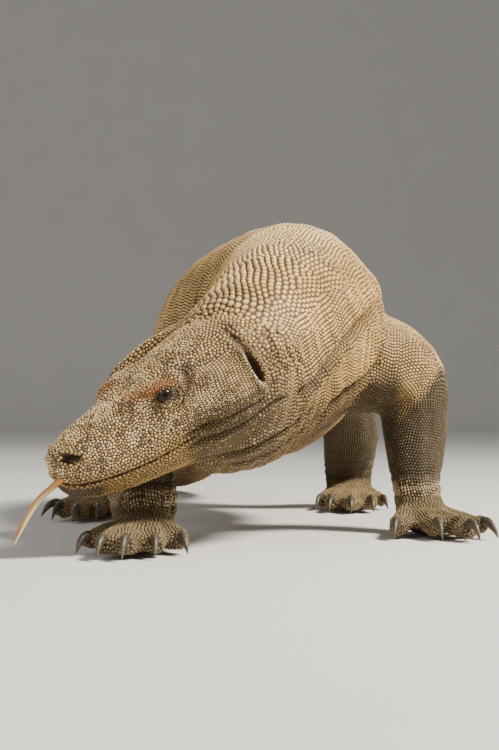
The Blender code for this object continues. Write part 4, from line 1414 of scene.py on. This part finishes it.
def build_coat(name, rings, colours, crests, patches, material):
    """All scales of one length of the body as one mesh.

    Each scale has quads from its edge up to its rim, and a fan from there to its top, which is
    the last of its points.
    """
    corners = SCALE_CORNERS
    count = len(rings)
    per = 2 * corners + 1
    points = rings.reshape(count * per, 3)
    base = np.arange(corners)
    after = (base + 1) % corners
    quads = np.stack([base, after, corners + after, corners + base], axis=1)
    fans = np.stack([corners + base, corners + after, np.full(corners, 2 * corners)], axis=1)
    start = (np.arange(count) * per)[:, None, None]
    loops = np.concatenate([(quads[None] + start).reshape(count, -1),
                            (fans[None] + start).reshape(count, -1)], axis=1).ravel()
    sizes = np.tile(np.concatenate([np.full(corners, 4), np.full(corners, 3)]), count)
    mesh = bpy.data.meshes.new(name)
    mesh.vertices.add(len(points))
    mesh.vertices.foreach_set("co", points.astype(np.float32).ravel())
    mesh.loops.add(len(loops))
    mesh.loops.foreach_set("vertex_index", loops.astype(np.int32))
    mesh.polygons.add(len(sizes))
    starts = np.concatenate(([0], np.cumsum(sizes)[:-1]))
    mesh.polygons.foreach_set("loop_start", starts.astype(np.int32))
    mesh.update(calc_edges=True)
    mesh.shade_smooth()
    store_colour(mesh, np.repeat(colours, per, axis=0))
    store_values(mesh, "crest", np.tile(crests, count))
    unwrap = mesh.uv_layers.new(name="OFBake")
    flat = patches.reshape(-1, 2)[loops]
    unwrap.data.foreach_set("uv", flat.astype(np.float32).ravel())
    mesh.materials.append(material)
    return link(name, mesh)


# the trunk's coat in lengths, and how far along each but the last one ends
COAT_NAMES = ("head", "nape", "collar", "shoulders", "back", "loins", "hips", "tail")
COAT_STOPS = (0.235, 0.36, 0.46, 0.58, 0.72, 1.02, 1.30)


def coat_of(places, lines):
    """Name of the coat piece that each scale belongs to."""
    names = np.array(COAT_NAMES)[np.searchsorted(COAT_STOPS, places.along)]
    names = names.astype("U24")
    for number, line in enumerate(lines):
        if line.name != "trunk":
            names[places.line == number] = limb_of(line)
    return names


def build_scales(skin, sizes, paint, material):
    """Every scale as a low dome on the skin, shaped by its neighbours."""
    lines = body_lines()
    hide = Hide(skin)
    roots, normals = scale_roots(skin, hide, lines, sizes.seed)
    places = Places(roots, lines)
    first = places.travel - normals * (places.travel * normals).sum(1)[:, None]
    steep = np.linalg.norm(first, axis=1) < 0.35
    across = places.side - normals * (places.side * normals).sum(1)[:, None]
    first[steep] = across[steep]
    first /= np.linalg.norm(first, axis=1)[:, None]
    second = np.cross(normals, first)
    pitch = scale_pitch(places)
    limb = (places.kind == "fore") | (places.kind == "hind")
    seam = sizes.seam + 0.0006 * step_between(pitch, 0.0060, 0.0080) + 0.0002 * limb
    seam = seam + 0.00024 * (~limb & (np.abs(pitch - 0.0043) < 1e-5))
    reach, angles = scale_outlines(roots, first, second, pitch, seam)
    height = sizes.relief * np.minimum(pitch, reach.mean(1) * 2.2)
    height *= np.where(places.kind == "trunk", 1.0, 0.9)
    head = (places.kind == "trunk") & (places.head[:, 0] < 1.0) & (places.along < 0.25)
    height[head] *= 0.80
    sideways = second[:, None, :] * np.sin(angles)[None, :, None]
    ring = first[:, None, :] * np.cos(angles)[None, :, None] + sideways
    ring = ring * reach[:, :, None]
    outer = roots[:, None, :] + ring - normals[:, None, :] * EDGE_DEPTH
    lift = normals[:, None, :] * (height * RIM_HEIGHT)[:, None, None]
    inner = roots[:, None, :] + ring * RIM_WIDTH + lift
    top = roots + normals * height[:, None] + first * (0.10 * reach.mean(1))[:, None]
    rings = np.concatenate([outer, inner, top[:, None, :]], axis=1)
    rings[:, :, 2] = np.maximum(rings[:, :, 2], 0.0002)
    flat = np.stack([np.cos(angles), np.sin(angles)], axis=1)
    pattern = np.concatenate([flat, flat * 0.66, np.zeros((1, 2))]) * PATCH * 0.5
    patches = chart_places(places, lines)[:, None, :] + pattern[None]
    crests = np.concatenate([np.zeros(SCALE_CORNERS), np.full(SCALE_CORNERS, 0.8), [1.0]])
    colours = hide_colours(places, paint, sizes.seed + 1, lines[0])
    names = coat_of(places, lines)
    made = []
    for name in sorted(set(names)):
        mine = names == name
        made.append(build_coat(f"scales_{name}", rings[mine], colours[mine], crests,
                               patches[mine], material))
    return made


# ---------------------------------------------------------------- finishes

def hide_finish(name, seam_colour, raised):
    """Dry scaly hide: scales painted light on top and dark down to the seams, painted shade over the seams'
    own dark skin, with grime and fine grain.
    """
    sheet = Sheet(name)
    hide = sheet.attribute("hide")
    grime = sheet.noise(26.0, 4.0).between(0.35, 0.70)
    grain = sheet.noise(1900.0, 2.0)
    tone = sheet.mix(grime * 0.30, hide, (0.115, 0.075, 0.038, 1.0))
    tone = sheet.mix(grain.between(0.42, 0.80) * 0.18, tone, (0.70, 0.54, 0.33, 1.0))
    seam = (*seam_colour, 1.0)
    if raised:
        # painted shade: each scale darkens from its top down to its edge, towards the seam colour
        crest = sheet.attribute("crest", "Fac").between(0.08, 0.80)
        colour = sheet.mix(crest, sheet.mix(0.20, seam, tone), tone)
    else:
        # bare skin between the scales: nearly the seam colour, its own dark skin with painted shade
        colour = sheet.mix(0.06, seam, tone)
    rough = 0.52 + 0.22 * grime
    sheet.feed(Base_Color=colour, Roughness=rough, Normal=sheet.bump(grain, 0.25, 0.0003))
    sheet.shader.inputs["Specular IOR Level"].default_value = 0.30
    return sheet.material


def eye_finish():
    """Wet eye: pupil, brown iris with flecks and a dark edge."""
    sheet = Sheet("wet_eye")
    lean = sheet.attribute("lean", "Fac")
    fleck = sheet.noise(900.0, 3.0)
    iris = sheet.mix(fleck, (0.012, 0.006, 0.003, 1.0), (0.045, 0.022, 0.009, 1.0))
    colour = sheet.mix(lean.between(0.30, 0.36), (0.003, 0.003, 0.003, 1.0), iris)
    colour = sheet.mix(lean.between(0.55, 0.75), colour, (0.020, 0.012, 0.008, 1.0))
    sheet.feed(Base_Color=colour, Roughness=0.06 + 0.05 * fleck)
    sheet.shader.inputs["Coat Weight"].default_value = 0.10
    sheet.shader.inputs["Coat Roughness"].default_value = 0.02
    sheet.shader.inputs["Specular IOR Level"].default_value = 0.16
    return sheet.material


def horn_finish():
    """Claw horn with pale streaks along it and fine scratches."""
    sheet = Sheet("claw_horn")
    along = sheet.attribute("along", "Fac")
    streak = sheet.noise(420.0, 3.0).between(0.35, 0.65)
    tone = sheet.mix(along.between(0.15, 1.0), (0.028, 0.023, 0.016, 1.0), (0.078, 0.062, 0.042, 1.0))
    colour = sheet.mix(streak * 0.32, tone, (0.20, 0.162, 0.112, 1.0))
    scratch = sheet.noise(1500.0, 2.0)
    sheet.feed(Base_Color=colour, Roughness=0.28 + 0.25 * streak,
               Normal=sheet.bump(scratch, 0.2, 0.0003))
    return sheet.material


def tongue_finish():
    """Moist tongue, amber with one yellow tine."""
    sheet = Sheet("moist_tongue")
    pale = sheet.attribute("pale", "Fac")
    along = sheet.attribute("along", "Fac")
    speck = sheet.noise(700.0, 3.0)
    amber = sheet.mix(speck, (0.50, 0.19, 0.045, 1.0), (0.66, 0.32, 0.085, 1.0))
    yellow = sheet.mix(speck, (0.72, 0.52, 0.20, 1.0), (0.84, 0.70, 0.38, 1.0))
    colour = sheet.mix(pale * along.between(0.1, 0.35), amber, yellow)
    sheet.feed(Base_Color=colour, Roughness=0.28 + 0.15 * speck,
               Normal=sheet.bump(speck, 0.15, 0.0004))
    return sheet.material


# ---------------------------------------------------------------- eyes, claws, tongue

def finished(bm, name, layers, material):
    """An object from `bm`, with a value per point in each layer."""
    mesh = bpy.data.meshes.new(name)
    bm.to_mesh(mesh)
    bm.free()
    for key, values in layers.items():
        store_values(mesh, key, values)
    mesh.shade_smooth()
    mesh.materials.append(material)
    return link(mesh.name, mesh)


def build_eye(node, side, material):
    low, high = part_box(node)
    centre = (low + high) / 2.0
    aim = head_matrix().to_3x3() @ Vector((EYE_AIM.x, side * EYE_AIM.y, EYE_AIM.z))
    turn = aim.to_track_quat("Z", "Y").to_matrix().to_4x4()
    bm = bmesh.new()
    bmesh.ops.create_uvsphere(bm, u_segments=48, v_segments=32, radius=EYE_RADIUS * 0.995)
    lean = [math.acos(max(-1.0, min(1.0, vert.co.normalized().z))) for vert in bm.verts]
    bmesh.ops.transform(bm, matrix=Matrix.Translation(centre) @ turn, verts=bm.verts)
    return finished(bm, f"eyeball_{node[4:]}", {"lean": lean}, material)


def build_claw(name, digit, material):
    """A curved horn with a blunt ridge along its back."""
    _root, end, tip, heading, _radius, claw = digit_frame(digit)
    start = end - heading * CLAW_SEAT
    reach = (tip - start).length
    rows = []
    for share, height, girth in CLAW_PROFILE:
        place = start + heading * reach * share
        rows.append((place.x, place.y, height * claw / CLAW_PROFILE_LENGTH, CLAW_RADIUS * girth))
    bm = bmesh.new()
    along = tube(bm, world_rows(rows), 22, 18, 1.0, 0.76)
    bmesh.ops.recalc_face_normals(bm, faces=bm.faces)
    return finished(bm, name, {"along": along}, material)


TONGUE_STEM = ((-0.156, 1.697, 0.102, 0.0044), (-0.184, 1.691, 0.086, 0.0043),
               (-0.203, 1.688, 0.0725, 0.0037))
TONGUE_TINES = (
    ((-0.195, 1.689, 0.0780, 0.0034), (-0.2109, 1.684, 0.0632, 0.0027),
     (-0.2241, 1.676, 0.0433, 0.0020), (-0.2368, 1.668, 0.0172, 0.0008)),
    ((-0.195, 1.689, 0.0780, 0.0034), (-0.2155, 1.692, 0.0622, 0.0025),
     (-0.2320, 1.701, 0.0380, 0.0018), (-0.2455, 1.712, 0.0168, 0.0008)),
)


def tube(bm, rows, rings, segments, tall, wide):
    """Closed round tube through rows of x, y, z, radius; returns how far along each point is."""
    path = np.array([spline(rows, k / (rings - 1)) for k in range(rings)])
    travel = np.gradient(path[:, :3], axis=0)
    along = []
    loops = []
    for k in range(rings):
        way = Vector(travel[k]).normalized()
        across = way.cross(Vector((0.0, 0.0, 1.0))).normalized()
        up = across.cross(way)
        loop = []
        for i in range(segments):
            angle = 2.0 * math.pi * i / segments
            away = across * math.cos(angle) * wide + up * math.sin(angle) * tall
            loop.append(bm.verts.new(Vector(path[k, :3]) + away * path[k, 3]))
            along.append(k / (rings - 1))
        loops.append(loop)
    for low, high in zip(loops, loops[1:]):
        for i in range(segments):
            j = (i + 1) % segments
            bm.faces.new((low[i], low[j], high[j], high[i]))
    bm.faces.new(loops[0])
    bm.faces.new(loops[-1])
    return along


def build_tongue(material):
    bm = bmesh.new()
    along = []
    pale = []
    for rows, light in ((TONGUE_STEM, 0.0), (TONGUE_TINES[0], 1.0), (TONGUE_TINES[1], 0.0)):
        run = tube(bm, world_rows(rows), 28, 20, 0.85, 1.1)
        along += [0.0] * len(run) if rows is TONGUE_STEM else run
        pale += [light] * len(run)
    bmesh.ops.recalc_face_normals(bm, faces=bm.faces)
    return finished(bm, "forked_tongue", {"along": along, "pale": pale}, material)


# ---------------------------------------------------------------- operators

class KOMODO_OT_skin(bpy.types.Operator):
    """Make the one skin that stands for all flesh"""

    bl_idname = "komodo.skin"
    bl_label = "Skin"

    def execute(self, context):
        scene = context.scene
        skin = build_skin(scene.komodo_sizes)
        lines = body_lines()
        places = Places(mesh_points(skin.data), lines)
        colours = hide_colours(places, scene.komodo_colours, scene.komodo_sizes.seed, lines[0])
        store_colour(skin.data, colours)
        skin.data.materials.clear()
        skin.data.materials.append(hide_finish("bare_skin", scene.komodo_colours.seam, False))
        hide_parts(*FLESH)
        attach(skin, "root")
        return {"FINISHED"}


class KOMODO_OT_scales(bpy.types.Operator):
    """Cover the skin with scales"""

    bl_idname = "komodo.scales"
    bl_label = "Scales"

    def execute(self, context):
        scene = context.scene
        skin = bpy.data.objects["skin"]
        finish = hide_finish("scaly_hide", scene.komodo_colours.seam, True)
        for coat in build_scales(skin, scene.komodo_sizes, scene.komodo_colours, finish):
            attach(coat, "root")
        return {"FINISHED"}


class KOMODO_OT_eyes(bpy.types.Operator):
    """Set both eyes in their lids"""

    bl_idname = "komodo.eyes"
    bl_label = "Eyes"

    def execute(self, context):
        finish = eye_finish()
        for node, side in (("eye_left", 1), ("eye_right", -1)):
            eye = build_eye(node, side, finish)
            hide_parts(node)
            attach(eye, "root")
        return {"FINISHED"}


class KOMODO_OT_claws(bpy.types.Operator):
    """Round off and finish the twenty claws"""

    bl_idname = "komodo.claws"
    bl_label = "Claws"

    def execute(self, context):
        finish = horn_finish()
        for foot, digits in DIGITS.items():
            for number, digit in enumerate(digits, start=1):
                claw = build_claw(f"horn_{foot}_{number}", digit, finish)
                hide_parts(f"claw_{foot}_{number}")
                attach(claw, "root")
        return {"FINISHED"}


class KOMODO_OT_tongue(bpy.types.Operator):
    """Put out the forked tongue"""

    bl_idname = "komodo.tongue"
    bl_label = "Tongue"

    def execute(self, context):
        tongue = build_tongue(tongue_finish())
        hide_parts("tongue")
        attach(tongue, "root")
        return {"FINISHED"}


FLOOR_HALF_WIDTH = 9.0
FLOOR_FRONT = -7.0
FLOOR_BACK = 14.0
SWEEP_RADIUS = 2.0
WALL_HEIGHT = 7.0
# lights: name, place, aim, size, share of the key light's power, colour
LIGHTS = (
    ("key", (2.55, -1.60, 3.0), (0.0, -0.8, 0.2), 1.0, 1.0, (1.0, 0.94, 0.84)),
    ("fill", (-1.6, -3.8, 1.6), (0.0, -0.9, 0.2), 2.4, 0.10, (1.0, 0.97, 0.92)),
    ("back", (-1.5, 2.8, 2.8), (0.0, 0.0, 0.3), 2.0, 0.05, (1.0, 1.0, 1.0)),
)
AIR_COLOUR = (0.90, 0.88, 0.85, 1.0)
AIR_STRENGTH = 0.31


def build_floor():
    """Pale studio floor that sweeps up into a wall behind."""
    profile = [(FLOOR_FRONT, 0.0), (FLOOR_BACK - SWEEP_RADIUS, 0.0)]
    for k in range(1, 13):
        angle = math.radians(90.0 * k / 12)
        profile.append((FLOOR_BACK - SWEEP_RADIUS + SWEEP_RADIUS * math.sin(angle),
                        SWEEP_RADIUS * (1.0 - math.cos(angle))))
    profile.append((FLOOR_BACK, WALL_HEIGHT))
    bm = bmesh.new()
    sides = []
    for x in (-FLOOR_HALF_WIDTH, FLOOR_HALF_WIDTH):
        sides.append([bm.verts.new((x, y, z)) for y, z in profile])
    for k in range(len(profile) - 1):
        bm.faces.new((sides[0][k], sides[1][k], sides[1][k + 1], sides[0][k + 1]))
    sheet = Sheet("studio_paper")
    soft = sheet.noise(3.0, 2.0)
    sheet.feed(Base_Color=sheet.mix(soft, (0.70, 0.69, 0.67, 1.0), (0.74, 0.73, 0.71, 1.0)),
               Roughness=0.85 + 0.05 * soft)
    return finished(bm, "studio_floor", {}, sheet.material)


def area_light(name, at, toward, size, power, colour):
    data = bpy.data.lights.new(name, "AREA")
    data.shape = "DISK"
    data.size = size
    data.energy = power
    data.color = colour
    made = bpy.data.objects.new(name, data)
    bpy.context.scene.collection.objects.link(made)
    made.location = at
    made.rotation_mode = "QUATERNION"
    made.rotation_quaternion = (Vector(toward) - Vector(at)).to_track_quat("-Z", "Y")
    return made


class KOMODO_OT_stage(bpy.types.Operator):
    """Add the floor, the lights and the camera"""

    bl_idname = "komodo.stage"
    bl_label = "Stage"

    def execute(self, context):
        stage = context.scene.komodo_stage
        build_floor()
        for name, at, toward, size, share, colour in LIGHTS:
            area_light(name, at, toward, size, stage.key * share, colour)
        world = bpy.data.worlds.new("studio_air")
        world.use_nodes = True
        world.node_tree.nodes["Background"].inputs["Color"].default_value = AIR_COLOUR
        world.node_tree.nodes["Background"].inputs["Strength"].default_value = AIR_STRENGTH
        context.scene.world = world
        data = bpy.data.cameras.new("camera")
        data.lens = stage.lens
        data.sensor_width = 36.0
        data.clip_start = 0.05
        data.clip_end = 60.0
        camera = bpy.data.objects.new("camera", data)
        context.scene.collection.objects.link(camera)
        camera.location = PLAN_ORIGIN + Vector((0.0, 0.0, stage.eye_height))
        camera.rotation_euler = (math.radians(90.0) + stage.tilt, 0.0, 0.0)
        context.scene.camera = camera
        return {"FINISHED"}


class KOMODO_PT_panel(bpy.types.Panel):
    bl_label = "Komodo dragon"
    bl_idname = "KOMODO_PT_panel"
    bl_space_type = "VIEW_3D"
    bl_region_type = "UI"
    bl_category = "Komodo"

    def draw(self, context):
        for group in (context.scene.komodo_sizes, context.scene.komodo_colours,
                      context.scene.komodo_stage):
            box = self.layout.box()
            for name in group.__annotations__:
                box.prop(group, name)
        for operator in OPERATORS:
            self.layout.operator(operator.bl_idname)


OPERATORS = (KOMODO_OT_skin, KOMODO_OT_scales, KOMODO_OT_eyes, KOMODO_OT_claws, KOMODO_OT_tongue,
             KOMODO_OT_stage)
CLASSES = (KomodoSizes, KomodoColours, KomodoStage, *OPERATORS, KOMODO_PT_panel)


def register():
    for item in CLASSES:
        bpy.utils.register_class(item)
    bpy.types.Scene.komodo_sizes = PointerProperty(type=KomodoSizes)
    bpy.types.Scene.komodo_colours = PointerProperty(type=KomodoColours)
    bpy.types.Scene.komodo_stage = PointerProperty(type=KomodoStage)


def unregister():
    del bpy.types.Scene.komodo_stage
    del bpy.types.Scene.komodo_colours
    del bpy.types.Scene.komodo_sizes
    for item in reversed(CLASSES):
        bpy.utils.unregister_class(item)


def main():
    register()
    bpy.ops.komodo.skin()
    bpy.ops.komodo.scales()
    bpy.ops.komodo.eyes()
    bpy.ops.komodo.claws()
    bpy.ops.komodo.tongue()
    bpy.ops.komodo.stage()


if __name__ == "__main__":
    main()
